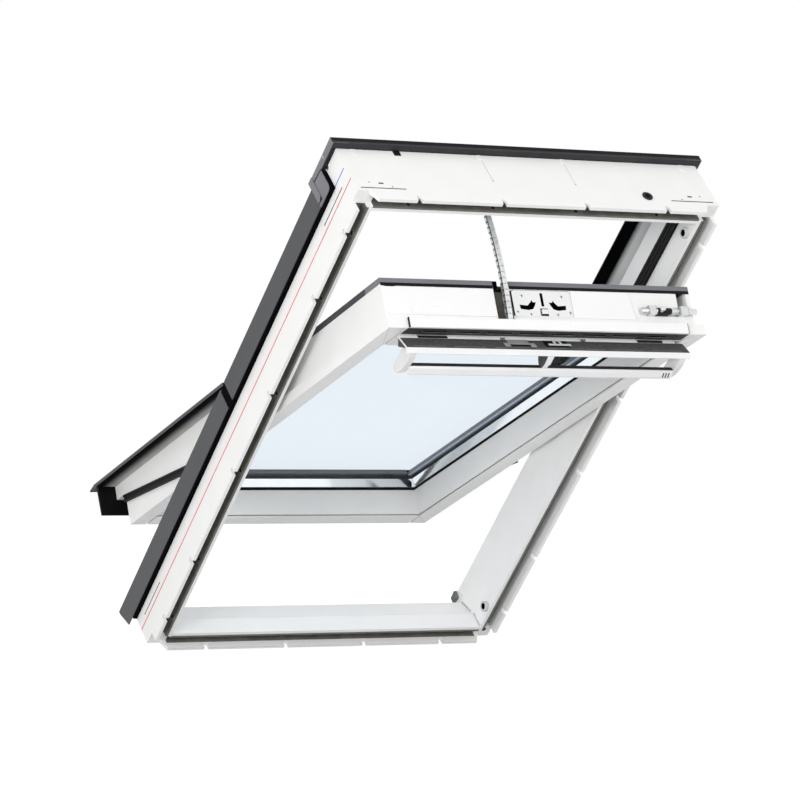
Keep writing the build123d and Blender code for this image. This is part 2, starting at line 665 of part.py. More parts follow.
def bottom_rail():
    """The foot of the sash with the nose that carries the drip profile."""
    outline = [(SASH_FOOT, 0), (DAYLIGHT_FOOT - EDGE_STEP, 0), (DAYLIGHT_FOOT - EDGE_STEP, EDGE_STEP),
               (DAYLIGHT_FOOT, EDGE_STEP), (DAYLIGHT_FOOT, GLASS_LEDGE),
               (DAYLIGHT_FOOT - GLASS_REBATE, GLASS_LEDGE), (DAYLIGHT_FOOT - GLASS_REBATE, SASH_LOW_DEPTH),
               (NOSE_FOOT, SASH_LOW_DEPTH), (NOSE_FOOT, NOSE_LOW), (SASH_FOOT, NOSE_LOW)]
    return along_x(outline, (-DAYLIGHT, DAYLIGHT))


def top_rail():
    """The head of the sash with its pockets, chain slot and ventilation slots."""
    outline = [(SASH_HEAD, 0), (DAYLIGHT_HEAD + EDGE_STEP, 0), (DAYLIGHT_HEAD + EDGE_STEP, EDGE_STEP),
               (DAYLIGHT_HEAD, EDGE_STEP), (DAYLIGHT_HEAD, GLASS_LEDGE),
               (DAYLIGHT_HEAD + GLASS_REBATE, GLASS_LEDGE), (DAYLIGHT_HEAD + GLASS_REBATE, SASH_DEPTH),
               (LOCK_FACE, SASH_DEPTH), (LOCK_FACE, FLANGE), (SASH_HEAD, FLANGE)]
    rail = along_x(outline, (-DAYLIGHT, DAYLIGHT))
    rail -= slab(OPENER_X, (LOCK_FACE - OPENER_LONG, LOCK_FACE + OVER), OPENER_UP)
    rail -= slab(CASE_X, (LOCK_FACE - CASE_LONG, LOCK_FACE + OVER), CASE_UP)
    rail -= slab(SLOT_X, (LOCK_FACE - SLOT_LONG, LOCK_FACE + OVER), (FLANGE, SASH_DEPTH + OVER))
    vent = DAYLIGHT * VENT_LONG_SHARE
    for row in range(VENTS):
        x = (row - (VENTS - 1) / 2) * DAYLIGHT * VENT_PITCH_SHARE
        s = (SASH_HEAD - VENT_BACK - VENT_WIDE / 2, SASH_HEAD - VENT_BACK + VENT_WIDE / 2)
        rail -= slab((x - vent / 2, x + vent / 2), s, (-OVER, VENT_DEEP))
    return rail


def pane(low):
    """One pane of the glazing unit, its room face at the given height."""
    half = DAYLIGHT + GLASS_REBATE - UNIT_GAP
    s = (DAYLIGHT_FOOT - GLASS_REBATE + UNIT_GAP, DAYLIGHT_HEAD + GLASS_REBATE - UNIT_GAP)
    return slab((-half, half), s, (low, low + PANE))


def glazing_ring(inset, low, high, wide):
    """A ring under, between or over the panes."""
    half = DAYLIGHT + GLASS_REBATE - UNIT_GAP - inset
    s = (DAYLIGHT_FOOT - GLASS_REBATE + UNIT_GAP + inset, DAYLIGHT_HEAD + GLASS_REBATE - UNIT_GAP - inset)
    return ring(half, s, (low, high), wide)


def sash_side_cover(half, edge, s):
    """A folded sheet over one stile of the sash, from its outer edge to the glass."""
    path = [(COVER_GLASS, COVER_SEAT), (COVER_BEND, SASH_COVER_TOP), (half, SASH_COVER_TOP), (half, edge)]
    return along_s(sheet(path, SHEET), s)


def corner_cuts(half, s):
    """The two end pieces cut from a cover's sloping edge where the side covers run in."""
    n = (WEATHER_TOP - OVER, SASH_COVER_TOP + OVER)
    right = slab((COVER_GLASS - SEAT, half + OVER), s, n)
    return right + mirror(right, about=Plane.YZ)


def head_cover():
    """The folded sheet over the head of the sash, open where the chain comes out."""
    path = [(HEAD_GLASS, COVER_SEAT), (HEAD_BEND, SASH_COVER_TOP), (LOCK_FACE, SASH_COVER_TOP),
            (LOCK_FACE, SASH_DEPTH + SEAT)]
    cover = along_x(sheet(path, SHEET), (-SASH_COVER_HALF, SASH_COVER_HALF))
    cover -= corner_cuts(SASH_COVER_HALF, (HEAD_GLASS - OVER, HEAD_BEND))
    for side in (-SASH_COVER_HALF, SASH_COVER_HALF - SHEET):
        cover += slab((side, side + SHEET), (HEAD_BEND, LOCK_FACE), (SASH_DEPTH + SEAT, SASH_COVER_TOP))
    slot = (LOCK_FACE - SLOT_LONG, LOCK_FACE + OVER)
    return cover - slab(SLOT_X, slot, (SASH_DEPTH - OVER, SASH_COVER_TOP + OVER))


def foot_cover():
    """The folded sheet over the foot of the sash, running out past the sill."""
    path = [(FOOT_END, FOOT_EDGE), (FOOT_END, FOOT_DROP), (FOOT_KNEE, SASH_COVER_TOP),
            (FOOT_BEND, SASH_COVER_TOP), (FOOT_GLASS, COVER_SEAT)]
    cover = along_x(sheet(path, SHEET), (-LOW_COVER_HALF, LOW_COVER_HALF))
    cover -= corner_cuts(LOW_COVER_HALF, (FOOT_BEND - SHEET, FOOT_GLASS + OVER))
    cheek = [(FOOT_END, LOW_COVER_EDGE), (FOOT_END, FOOT_DROP), (FOOT_KNEE, SASH_COVER_TOP),
             (FOOT_BEND, SASH_COVER_TOP), (FOOT_BEND, LOW_COVER_EDGE)]
    cover += along_x(cheek, (LOW_COVER_HALF - SHEET, LOW_COVER_HALF))
    return cover + along_x(cheek, (-LOW_COVER_HALF, SHEET - LOW_COVER_HALF))


def drip_profile():
    """The dark profile under the foot of the sash that hangs in front of the sill."""
    top = SASH_COVER_TOP - SHEET - SEAT
    outline = [(NOSE_FOOT, DRIP_LOW), (NOSE_FOOT, NOSE_LOW), (NOSE_FOOT - SEAT, NOSE_LOW),
               (NOSE_FOOT - SEAT, top), (NOSE_FOOT - DRIP_BACK, top), (NOSE_FOOT - DRIP_THICK, DRIP_LOW)]
    return along_x(outline, (-DRIP_HALF, DRIP_HALF))


def ramp_seal():
    """The ribbed seal that runs up one lower stile at a slight angle to the sash."""
    seal = None
    step = RAMP_THICK / RAMP_RIBS
    for rib in range(RAMP_RIBS):
        top = RAMP_TOP - step * rib
        reach = RAMP_PROUD - (rib % 2) * RAMP_RIB
        outline = [(RAMP_FOOT, top), (RAMP_HEAD, top - RAMP_FALL), (RAMP_HEAD, top - step - RAMP_FALL),
                   (RAMP_FOOT, top - step)]
        lath = along_x(outline, (SASH_HALF, SASH_HALF + reach))
        seal = lath if seal is None else seal + lath
    return seal


def lock_plate():
    """The lock plate with rounded corners, two horn-shaped slots and a slot for the strike."""
    plane = Plane(origin=(0, -LOCK_FACE, 0), x_dir=(1, 0, 0), z_dir=(0, -1, 0))
    middle = ((LOCK_X[0] + LOCK_X[1]) / 2, (LOCK_UP[0] + LOCK_UP[1]) / 2)
    shape = Pos(*middle) * RectangleRounded(LOCK_X[1] - LOCK_X[0], LOCK_UP[1] - LOCK_UP[0], LOCK_ROUND)
    shape -= Pos(LOCK_CENTRE, middle[1] + LOCK_SLOT_OFF) * Rectangle(*LOCK_SLOT)
    for side in (-1, 1):
        horn = [(LOCK_CENTRE + side * x, middle[1] + n) for x, n in HORN_SLOT]
        shape -= Polygon(*horn, align=None)
    plate = extrude(plane * shape, amount=PLATE_LOCK, dir=plane.z_dir)
    face = LOCK_FACE + PLATE_LOCK
    hook = slab((LOCK_CENTRE - HOOK_HALF, LOCK_CENTRE + HOOK_HALF), (face, face + HOOK_PROUD), HOOK_UP)
    return plate + hook


def lock_case():
    """The open-fronted lock case in its pocket behind the plate."""
    x = (CASE_X[0] + SEAT, CASE_X[1] - SEAT)
    n = (CASE_UP[0] + SEAT, CASE_UP[1] - SEAT)
    back = LOCK_FACE - CASE_LONG + SEAT
    case = slab(x, (back, LOCK_FACE), n)
    return case - slab((x[0] + CASE_WALL, x[1] - CASE_WALL), (back + CASE_WALL, LOCK_FACE + OVER),
                       (n[0] + CASE_WALL, n[1] - CASE_WALL))


def actuator():
    """The chain opener's housing in its pocket."""
    return slab((OPENER_X[0] + SEAT, OPENER_X[1] - SEAT), (LOCK_FACE - OPENER_LONG + SEAT, LOCK_FACE - SEAT),
                (OPENER_UP[0] + SEAT, OPENER_UP[1] - SEAT))


def left_cover():
    """The cover over the opener, with its shallow recess."""
    plate = slab(LEFT_COVER_X, (LOCK_FACE, LOCK_FACE + COVER_PLATE), COVER_UP)
    face = LOCK_FACE + COVER_PLATE
    recess = (LEFT_COVER_X[0] + LABEL_PLACE[0], LEFT_COVER_X[0] + LABEL_PLACE[1])
    return plate - slab(recess, (face - LABEL_DEEP, face + OVER), LABEL_UP)


def right_cover():
    """The plain cover beside the lock, slanted at its outer end."""
    outline = [(RIGHT_COVER_X[0], COVER_UP[0]), (RIGHT_COVER_X[1], COVER_UP[0]),
               (RIGHT_COVER_X[1] - RIGHT_COVER_SLANT, COVER_UP[1]), (RIGHT_COVER_X[0], COVER_UP[1])]
    return along_s(outline, (LOCK_FACE, LOCK_FACE + COVER_PLATE))


def front_strip():
    """The white strip along the front of the sash head."""
    return slab((-FRONT_HALF, FRONT_HALF), (SASH_HEAD, SASH_HEAD + FRONT_STRIP), (0, FLANGE))


def bolt_guides():
    """The two guides that carry the barrel bolt."""
    spans = [(BOLT_TIP - far, BOLT_TIP - near) for far, near in GUIDE_BACK]
    guides = slab((spans[0][0], spans[1][1]), (LOCK_FACE, LOCK_FACE + GUIDE_BASE), GUIDE_UP)
    for x in spans:
        guides += slab(x, (LOCK_FACE, LOCK_FACE + GUIDE_HIGH), GUIDE_UP)
    reach = (spans[0][0] - OVER, spans[1][1] + OVER)
    return guides - rod_x(reach, BOLT_S, BOLT_UP, BOLT_RADIUS + BOLT_FIT)


def barrel_bolt():
    """The sliding bolt with its thumb stud."""
    bolt = rod_x((BOLT_TAIL, BOLT_TIP), BOLT_S, BOLT_UP, BOLT_RADIUS)
    return bolt + rod_s(BOLT_TIP - KNOB_BACK, (BOLT_S, BOLT_S + KNOB_LONG), BOLT_UP, KNOB_RADIUS)


def lock_screws():
    """The screw heads that hold the lock plate."""
    face = LOCK_FACE + PLATE_LOCK
    heads = []
    for x, share in zip(LOCK_SCREW_X, LOCK_SCREW_SHARES):
        n = LOCK_UP[0] + (LOCK_UP[1] - LOCK_UP[0]) * share
        for side in (-1, 1):
            heads.append(rod_s(LOCK_CENTRE + side * x, (face, face + SCREW_HIGH), n, SCREW_RADIUS))
    return Compound(children=heads)


def hinge_rod():
    """The flap's hinge rod with the clips that hold it under the sash head."""
    rod = rod_x((CLIP_X[0] - CLIP_HALF, CLIP_X[-1] + CLIP_HALF), FLAP_S, FLAP_UP, FLAP_ROD)
    for x in CLIP_X:
        rod += slab((x - CLIP_HALF, x + CLIP_HALF), (FLAP_S - CLIP_REACH, FLAP_S + FLAP_ROD),
                    (FLAP_UP - FLAP_ROD, 0))
    return rod


def flap_point(points):
    """Flap outline points moved from the flap axis to sash coordinates."""
    return [(FLAP_S + q, FLAP_UP + m) for q, m in points]


def flap_profile():
    """The flap plate with its rim and the barrels that turn on the hinge rod."""
    flap = along_x(flap_point(FLAP_OUTLINE), (-FLAP_HALF, FLAP_HALF))
    for x in CLIP_X:
        gap = CLIP_HALF + CLIP_GAP
        flap -= slab((x - gap, x + gap), (FLAP_S - CLIP_CLEAR, FLAP_S + CLIP_CLEAR),
                     (FLAP_UP - CLIP_CLEAR, OVER))
    for low, high in zip(CLIP_X, CLIP_X[1:]):
        x = (low + CLIP_HALF + CLIP_GAP, high - CLIP_HALF - CLIP_GAP)
        flap += rod_x(x, FLAP_S, FLAP_UP, FLAP_BARREL)
    reach = (-FLAP_HALF - OVER, FLAP_HALF + OVER)
    return flap - rod_x(reach, FLAP_S, FLAP_UP, FLAP_ROD + FLAP_FIT)


def grab_bar():
    """The rounded grab bar."""
    plane = Plane(origin=(-BAR_HALF, 0, 0), x_dir=(0, -1, 0), z_dir=(1, 0, 0))
    spot = (FLAP_S + BAR_CENTRE[0], -(FLAP_UP + BAR_CENTRE[1]))
    shape = plane * (Pos(*spot) * RectangleRounded(*BAR_SIZE, BAR_ROUND))
    return extrude(shape, amount=BAR_HALF + BAR_HALF, dir=plane.z_dir)


def end_cap():
    """The end arm from the flap to the grab bar."""
    return along_x(flap_point(CAP_OUTLINE), (BAR_HALF, BAR_HALF + CAP_THICK))


def opened(s, n):
    """A sash point in frame coordinates with the sash swung open."""
    turn = radians(OPEN_ANGLE)
    across = SASH_S + s - PIVOT_S
    out = SASH_UP + n - PIVOT_UP
    return PIVOT_S + across * cos(turn) + out * sin(turn), PIVOT_UP - across * sin(turn) + out * cos(turn)


def chain_stops():
    """The joint points of the chain, from the sash to the bracket, on a shallow bow."""
    low = opened(LOCK_FACE + CHAIN_START[0], CHAIN_START[1])
    run = (CHAIN_HIGH[0] - low[0], CHAIN_HIGH[1] - low[1])
    reach = hypot(*run)
    stops = []
    for index in range(CHAIN_LINKS + 1):
        share = index / CHAIN_LINKS
        bow = CHAIN_BOW * 4 * share * (1 - share)
        stops.append((low[0] + run[0] * share - run[1] / reach * bow,
                      low[1] + run[1] * share + run[0] / reach * bow))
    return stops


def link_plate(start, end, at):
    """A pair of link plates between two joint points."""
    length = hypot(end[0] - start[0], end[1] - start[1])
    c = (end[0] - start[0]) / length
    d = (end[1] - start[1]) / length
    half = [(-LINK_OVER, -LINK_HIGH / 2), (-LINK_OVER / 2, -LINK_HIGH),
            (length + LINK_OVER / 2, -LINK_HIGH), (length + LINK_OVER, -LINK_HIGH / 2)]
    outline = half + [(a, -b) for a, b in half[::-1]]
    outline = [(start[0] + a * c - b * d, start[1] + a * d + b * c) for a, b in outline]
    return along_x(outline, (CHAIN_X + at, CHAIN_X + at + LINK_PLATE)) + along_x(
        outline, (CHAIN_X - at - LINK_PLATE, CHAIN_X - at))


def inner_links(indices):
    """Links with bushes, each bored for its two pins."""
    stops = chain_stops()
    links = []
    for index in indices:
        link = link_plate(stops[index], stops[index + 1], INNER_AT)
        for s, n in stops[index:index + 2]:
            link += rod_x((CHAIN_X - INNER_AT, CHAIN_X + INNER_AT), s, n, LINK_BUSH)
        for spot, (s, n) in enumerate(stops[index:index + 2]):
            bore = LUG_PIN if index + spot == CHAIN_LINKS else LINK_PIN
            link -= rod_x((CHAIN_X - OUTER_AT, CHAIN_X + OUTER_AT), s, n, bore + LINK_FIT)
        links.append(link)
    return links


def outer_links(indices):
    """Links that carry the pins."""
    stops = chain_stops()
    links = []
    for index in indices:
        link = link_plate(stops[index], stops[index + 1], OUTER_AT)
        for s, n in stops[index:index + 2]:
            link += rod_x((CHAIN_X - OUTER_AT - LINK_PLATE, CHAIN_X + OUTER_AT + LINK_PLATE), s, n, LINK_PIN)
        links.append(link)
    return links


def in_frame(piece):
    """A frame piece stood up at the roof pitch."""
    return Rot(-PITCH, 0, 0) * piece


def in_sash(piece):
    """A sash piece moved to its closed place, swung open and stood up at the roof pitch."""
    swing = Pos(0, -PIVOT_S, PIVOT_UP) * Rot(OPEN_ANGLE, 0, 0) * Pos(0, PIVOT_S, -PIVOT_UP)
    return Rot(-PITCH, 0, 0) * swing * Pos(0, -SASH_S, SASH_UP) * piece


def on_flap(piece):
    """A flap piece turned down to its open place on the sash."""
    return in_sash(Pos(0, -FLAP_S, FLAP_UP) * Rot(FLAP_ANGLE, 0, 0) * Pos(0, FLAP_S, -FLAP_UP) * piece)


def frame_nodes():
    """Every piece of the fixed frame."""
    upper = bush_spot()
    covers = (both_sides(lower_cover), both_sides(upper_cover), both_sides(casing_lid))
    seals = (both_sides(frame_seal), both_sides(side_foam), both_sides(track_plate))
    links = range(CHAIN_LINKS)
    foam_run = (LENGTH - TOP_FOAM[0], LENGTH - TOP_FOAM[1])
    return {
        "frame_left": mirror(side_member(()), about=Plane.YZ),
        "frame_right": side_member((upper, LOW_BUSH_S)),
        "frame_top": top_member(),
        "frame_bottom": bottom_member(),
        "lower_cover_left": covers[0][0],
        "lower_cover_right": covers[0][1],
        "upper_cover_left": covers[1][0],
        "upper_cover_right": covers[1][1],
        "casing_lid_left": covers[2][0],
        "casing_lid_right": covers[2][1],
        "head_casing": head_casing(),
        "head_foam": slab((-INNER, INNER), foam_run, (DEPTH, LID_TOP - SHEET)),
        "frame_seal_left": seals[0][0],
        "frame_seal_right": seals[0][1],
        "side_foam_left": seals[1][0],
        "side_foam_right": seals[1][1],
        "track_plate_left": seals[2][0],
        "track_plate_right": seals[2][1],
        "bolt_bushes": Compound(children=[bolt_bush(upper), bolt_bush(LOW_BUSH_S)]),
        "cable_grommet": grommet(),
        "strike_plate": strike(),
        "chain_bracket": chain_bracket(),
        "chain_outer_links": Compound(children=outer_links([i for i in links if i % 2])),
        "chain_inner_links": Compound(children=inner_links([i for i in links if not i % 2])),
    }


def sash_nodes():
    """Every piece that swings with the sash."""
    stiles = both_sides(stile)
    ramps = both_sides(ramp_seal)
    shoes = both_sides(shoe_plate)
    low_run = (FOOT_BEND + SEAT, COVER_SPLIT[0])
    high_run = (COVER_SPLIT[0] + SEAT, HEAD_BEND - SEAT)
    low = both_sides(lambda: sash_side_cover(LOW_COVER_HALF, LOW_COVER_EDGE, low_run))
    high = both_sides(lambda: sash_side_cover(SASH_COVER_HALF, SASH_DEPTH + SEAT, high_run))
    room = GLASS_LEDGE + EDGE_SEAL
    return {
        "sash_left": stiles[0],
        "sash_right": stiles[1],
        "sash_top": top_rail(),
        "sash_bottom": bottom_rail(),
        "inner_pane": pane(room),
        "outer_pane": pane(room + PANE + CAVITY),
        "spacer_bar": glazing_ring(SPACER_IN, room + PANE, room + PANE + CAVITY, SPACER_WIDTH),
        "room_seal": glazing_ring(0, GLASS_LEDGE, room, SEAL_WIDTH),
        "weather_seal": glazing_ring(0, room + PANE + CAVITY + PANE, WEATHER_TOP, OUTER_SEAL_WIDTH),
        "sash_cover_low_left": low[0],
        "sash_cover_low_right": low[1],
        "sash_cover_high_left": high[0],
        "sash_cover_high_right": high[1],
        "sash_cover_head": head_cover(),
        "sash_cover_foot": foot_cover(),
        "drip_profile": drip_profile(),
        "ramp_seal_left": ramps[0],
        "ramp_seal_right": ramps[1],
        "pivot_shoe_left": shoes[0],
        "pivot_shoe_right": shoes[1],
        "lock_plate": lock_plate(),
        "lock_case": lock_case(),
        "lock_screws": lock_screws(),
        "opener_housing": actuator(),
        "cover_left": left_cover(),
        "cover_right": right_cover(),
        "front_strip": front_strip(),
        "bolt_guides": bolt_guides(),
        "barrel_bolt": barrel_bolt(),
        "flap_hinge_rod": hinge_rod(),
    }


def flap_nodes():
    """Every piece that turns with the ventilation flap."""
    caps = both_sides(end_cap)
    return {
        "flap_profile": flap_profile(),
        "grab_bar": grab_bar(),
        "end_cap_left": caps[0],
        "end_cap_right": caps[1],
        "bar_stay": along_x(flap_point(STAY_OUTLINE), STAY_X),
        "flap_catch": along_x(flap_point(CATCH_OUTLINE), CATCH_X),
    }


def main():
    """Write one STEP file for each piece."""
    os.makedirs("parts", exist_ok=True)
    for nodes, place in ((frame_nodes(), in_frame), (sash_nodes(), in_sash), (flap_nodes(), on_flap)):
        for name, piece in nodes.items():
            export_step(place(piece), f"parts/{name}.step")


main()
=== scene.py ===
"""Looks for a centre-pivot roof window with a push-chain opener.

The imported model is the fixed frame.  Each class dresses one sub-assembly: it gives the carried-over nodes
their finishes and adds the small pieces that show, each riding on the body that carries it.  Lengths in the
dataclass fields are millimetres, in the frame's own directions: x across, s up the slope, n out of the room.
"""
import logging
import math
from dataclasses import dataclass
from enum import Enum

import bmesh
import bpy
import numpy as np
from mathutils import Matrix


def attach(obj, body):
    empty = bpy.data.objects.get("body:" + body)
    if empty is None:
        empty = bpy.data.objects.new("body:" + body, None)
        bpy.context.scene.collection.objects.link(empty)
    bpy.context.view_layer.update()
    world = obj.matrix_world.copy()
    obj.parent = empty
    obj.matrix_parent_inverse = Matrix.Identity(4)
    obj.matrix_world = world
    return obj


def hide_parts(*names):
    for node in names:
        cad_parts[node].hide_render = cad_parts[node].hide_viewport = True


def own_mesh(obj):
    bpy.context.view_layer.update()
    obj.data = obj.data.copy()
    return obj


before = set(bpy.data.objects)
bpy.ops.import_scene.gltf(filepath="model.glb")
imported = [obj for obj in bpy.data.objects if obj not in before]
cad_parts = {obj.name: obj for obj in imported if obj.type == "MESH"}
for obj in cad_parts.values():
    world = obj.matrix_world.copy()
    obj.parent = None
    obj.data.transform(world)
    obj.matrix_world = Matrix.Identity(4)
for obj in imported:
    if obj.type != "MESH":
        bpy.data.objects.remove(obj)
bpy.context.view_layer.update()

LOG = logging.getLogger("roof_window")
MM_PER_M = 1000.0
WHITE = (1.0, 1.0, 1.0, 1.0)
Span = tuple[float, float]
Point = tuple[float, float, float]
Spans = tuple[Span, ...]
Outline = tuple[Span, ...]
Block = tuple[Span, Span, Span]
Lamp = tuple[str, Point, float, float]


class Seat(Enum):
    """The drawing plane that a piece is laid out on."""

    FRAME = "frame"
    SASH = "sash"
    FLAP = "flap"


class Slot(Enum):
    """Material slot names; each finish is labelled with one."""

    MOULDING = "white_moulding"
    PLASTIC = "white_plastic"
    CLADDING = "grey_cladding"
    FOAM = "black_foam"
    RUBBER = "black_rubber"
    STEEL = "bright_steel"
    GREY = "grey_plastic"
    DARK = "dark_plastic"


class Axis(Enum):
    """The direction that a profile is carried along."""

    ACROSS = 0
    UP = 1
    OUT = 2


@dataclass(frozen=True)
class Layout:
    """Where the frame, the open sash and the turned-down flap stand.

    Fields give the pitch and the two opening angles in degrees, and in millimetres the pivot line, the
    middle of the shut sash's room face and the flap axis on the sash.
    """

    pitch: float = 45.0
    opened: float = 25.83
    turned: float = 53.0
    pivot: Span = (589.0, 176.0)
    sash: Span = (587.0, 53.0)
    flap: Span = (510.0, -5.0)

    @staticmethod
    def turn(s: np.ndarray, n: np.ndarray, about: Span, angle: float) -> tuple[np.ndarray, np.ndarray]:
        """Turns points about a line across the window: the head goes into the room as the angle grows.

        Args:
            s: Distances up the slope.
            n: Distances out of the room.
            about: The line's own s and n.
            angle: The turn in degrees.

        Returns:
            The turned s and n.
        """
        c, d = math.cos(math.radians(angle)), math.sin(math.radians(angle))
        up, out = s - about[0], n - about[1]
        return about[0] + up * c + out * d, about[1] - up * d + out * c

    def world(self, points: np.ndarray, seat: Seat) -> np.ndarray:
        """Takes x, s, n points in millimetres to the row frame in metres.

        Args:
            points: Array whose last axis is x, s, n; flap points are drawn with the flap shut.
            seat: The drawing plane of the points.

        Returns:
            The array in world x, y, z: y is n less s, and z their sum, over the root of two at 45 degrees.
        """
        x, s, n = (points[..., axis] for axis in range(3))
        if seat is Seat.FLAP:
            s, n = self.turn(s, n, self.flap, self.turned)
        if seat is not Seat.FRAME:
            s, n = self.turn(s + self.sash[0], n + self.sash[1], self.pivot, self.opened)
        c, d = math.cos(math.radians(self.pitch)), math.sin(math.radians(self.pitch))
        return np.stack((x, n * d - s * c, s * d + n * c), axis=-1) / MM_PER_M


LAYOUT = Layout()


def linear(code: str) -> tuple[float, float, float, float]:
    """Turns an sRGB hex code into linear colour by the sRGB curve.

    Args:
        code: The code, with its leading sign.

    Returns:
        Linear red, green and blue, and an alpha of one.
    """
    parts = np.array([int(code[i:i + 2], 16) for i in (1, 3, 5)]) / 255.0
    value = np.where(parts <= 0.04045, parts / 12.92, ((parts + 0.055) / 1.055) ** 2.4)
    return (*(float(v) for v in value), 1.0)


def grey(level: float) -> tuple[float, float, float, float]:
    """A linear grey with an alpha of one."""
    return (level, level, level, 1.0)


def add(tree: bpy.types.NodeTree, kind: str, links: dict | None = None, **settings: object) -> bpy.types.Node:
    """Adds one node with its settings and links.

    Args:
        tree: The node tree.
        kind: The node's type name without its prefix.
        links: Input name or number to an output socket or a plain value.
        **settings: Attributes of the node.

    Returns:
        The new node.
    """
    node = tree.nodes.new("ShaderNode" + kind)
    for name, value in settings.items():
        setattr(node, name, value)
    for name, value in (links or {}).items():
        if isinstance(value, bpy.types.NodeSocket):
            tree.links.new(value, node.inputs[name])
        else:
            node.inputs[name].default_value = value
    return node


def start(name: str) -> tuple[bpy.types.Material, bpy.types.Node, bpy.types.NodeSocket]:
    """Starts a material that has a principled shader and Object coordinates.

    Args:
        name: The material's name.

    Returns:
        The material, its shader and the socket of the coordinates.
    """
    made = bpy.data.materials.new(name)
    made.use_nodes = True
    place = add(made.node_tree, "TexCoord")
    return made, made.node_tree.nodes["Principled BSDF"], place.outputs["Object"]


@dataclass(frozen=True)
class Finish:
    """One surface finish and the pattern that the eye sees in it.

    Patterns come from noise on Object coordinates, so a size in millimetres is a scale of 1000 over it.
    The field noise gives the two values of the noise that the pattern runs between.
    """

    name: str
    colour: str
    shade: str
    roughness: float
    metallic: float = 0.0
    cloud_mm: float = 60.0
    grain_mm: float = 2.0
    bump_mm: float = 0.02
    rough_swing: float = 0.08
    stretch: Point = (1.0, 1.0, 1.0)
    coat: float = 0.0
    ior: float = 1.5
    specular: float = 0.5
    slot: Slot = Slot.MOULDING
    fade: str = ""
    fade_mm: Span = (0.0, 1.0)
    noise: Span = (0.3, 0.7)
    cloud_detail: float = 3.0
    grain_detail: float = 4.0

    def faded(self, tree: bpy.types.NodeTree, place: bpy.types.NodeSocket,
              colour: bpy.types.NodeSocket) -> bpy.types.NodeSocket:
        """Changes the colour with the distance from the window's middle plane, to stand in for soft shade.

        Args:
            tree: The material's node tree.
            place: The Object coordinates.
            colour: The colour nearer the middle plane.

        Returns:
            The socket of the colour that goes over to the fade colour further out.
        """
        parts = add(tree, "SeparateXYZ", {"Vector": place})
        away = add(tree, "Math", {0: parts.outputs["X"]}, operation="ABSOLUTE")
        near, far = (edge / MM_PER_M for edge in self.fade_mm)
        share = add(tree, "MapRange", {"Value": away.outputs[0], "From Min": near, "From Max": far},
                    interpolation_type="SMOOTHSTEP")
        mix = add(tree, "Mix", {0: share.outputs["Result"], 6: colour, 7: linear(self.fade)},
                  data_type="RGBA")
        return mix.outputs[2]

    def material(self) -> bpy.types.Material:
        """Makes the material once: clouded colour, grained roughness and a fine bump.

        Returns:
            The material, from the first call or an earlier one.
        """
        found = bpy.data.materials.get(self.name)
        if found:
            return found
        made, shader, place = start(self.name)
        made.diffuse_color = linear(self.colour)
        tree = made.node_tree
        run = add(tree, "Mapping", {"Vector": place, "Scale": self.stretch}).outputs["Vector"]
        sizes = ((self.cloud_mm, self.cloud_detail), (self.grain_mm, self.grain_detail))
        cloud, grain = (add(tree, "TexNoise", {"Vector": run, "Scale": MM_PER_M / size, "Detail": detail})
                        for size, detail in sizes)
        tone = add(tree, "ValToRGB", {"Fac": cloud.outputs["Fac"]})
        for stop, share, code in zip(tone.color_ramp.elements, self.noise, (self.shade, self.colour)):
            stop.position = share
            stop.color = linear(code)
        low, high = self.roughness - self.rough_swing, self.roughness + self.rough_swing
        rough = add(tree, "MapRange", {"Value": grain.outputs["Fac"], "From Min": self.noise[0],
                                       "From Max": self.noise[1], "To Min": low, "To Max": high})
        bump = add(tree, "Bump", {"Height": grain.outputs["Fac"], "Strength": 1.0,
                                  "Distance": self.bump_mm / MM_PER_M})
        colour = tone.outputs["Color"]
        if self.fade:
            colour = self.faded(tree, place, colour)
        tree.links.new(colour, shader.inputs["Base Color"])
        tree.links.new(rough.outputs["Result"], shader.inputs["Roughness"])
        tree.links.new(bump.outputs["Normal"], shader.inputs["Normal"])
        shader.inputs["Metallic"].default_value = self.metallic
        shader.inputs["Coat Weight"].default_value = self.coat
        shader.inputs["Specular IOR Level"].default_value = self.specular
        if not self.metallic:
            shader.inputs["IOR"].default_value = self.ior
        return made


@dataclass(frozen=True)
class Glass:
    """Clear float glass with a very shallow wave.

    The index of refraction is far under that of real glass, so that no reflection hides the seals.
    """

    name: str
    tint: str
    wave_mm: float = 180.0
    depth_mm: float = 0.02
    ior: float = 1.03

    def material(self) -> bpy.types.Material:
        """Makes the glass once: clear transmission, a faint tint and a very shallow wave.

        Returns:
            The material, from the first call or an earlier one.
        """
        found = bpy.data.materials.get(self.name)
        if found:
            return found
        made, shader, place = start(self.name)
        tree = made.node_tree
        wave = add(tree, "TexNoise", {"Vector": place, "Scale": MM_PER_M / self.wave_mm})
        bump = add(tree, "Bump", {"Height": wave.outputs["Fac"], "Strength": 1.0,
                                  "Distance": self.depth_mm / MM_PER_M})
        tree.links.new(bump.outputs["Normal"], shader.inputs["Normal"])
        shader.inputs["Base Color"].default_value = linear(self.tint)
        shader.inputs["Roughness"].default_value = 0.0
        shader.inputs["Transmission Weight"].default_value = 1.0
        shader.inputs["IOR"].default_value = self.ior
        return made


# White-lacquered polyurethane moulding: satin, with the slight orange peel of a sprayed coat.
MOULDING = Finish("White lacquered polyurethane", "#f8f8f7", "#f5f5f4", 0.45, grain_mm=3.0, bump_mm=0.01)
# White ABS of the opener covers and the strip: moulded, a touch glossier than the frame.
COVER_ABS = Finish("White moulded ABS", "#fafafa", "#f7f7f8", 0.34, grain_mm=1.6, bump_mm=0.004,
                   slot=Slot.PLASTIC)
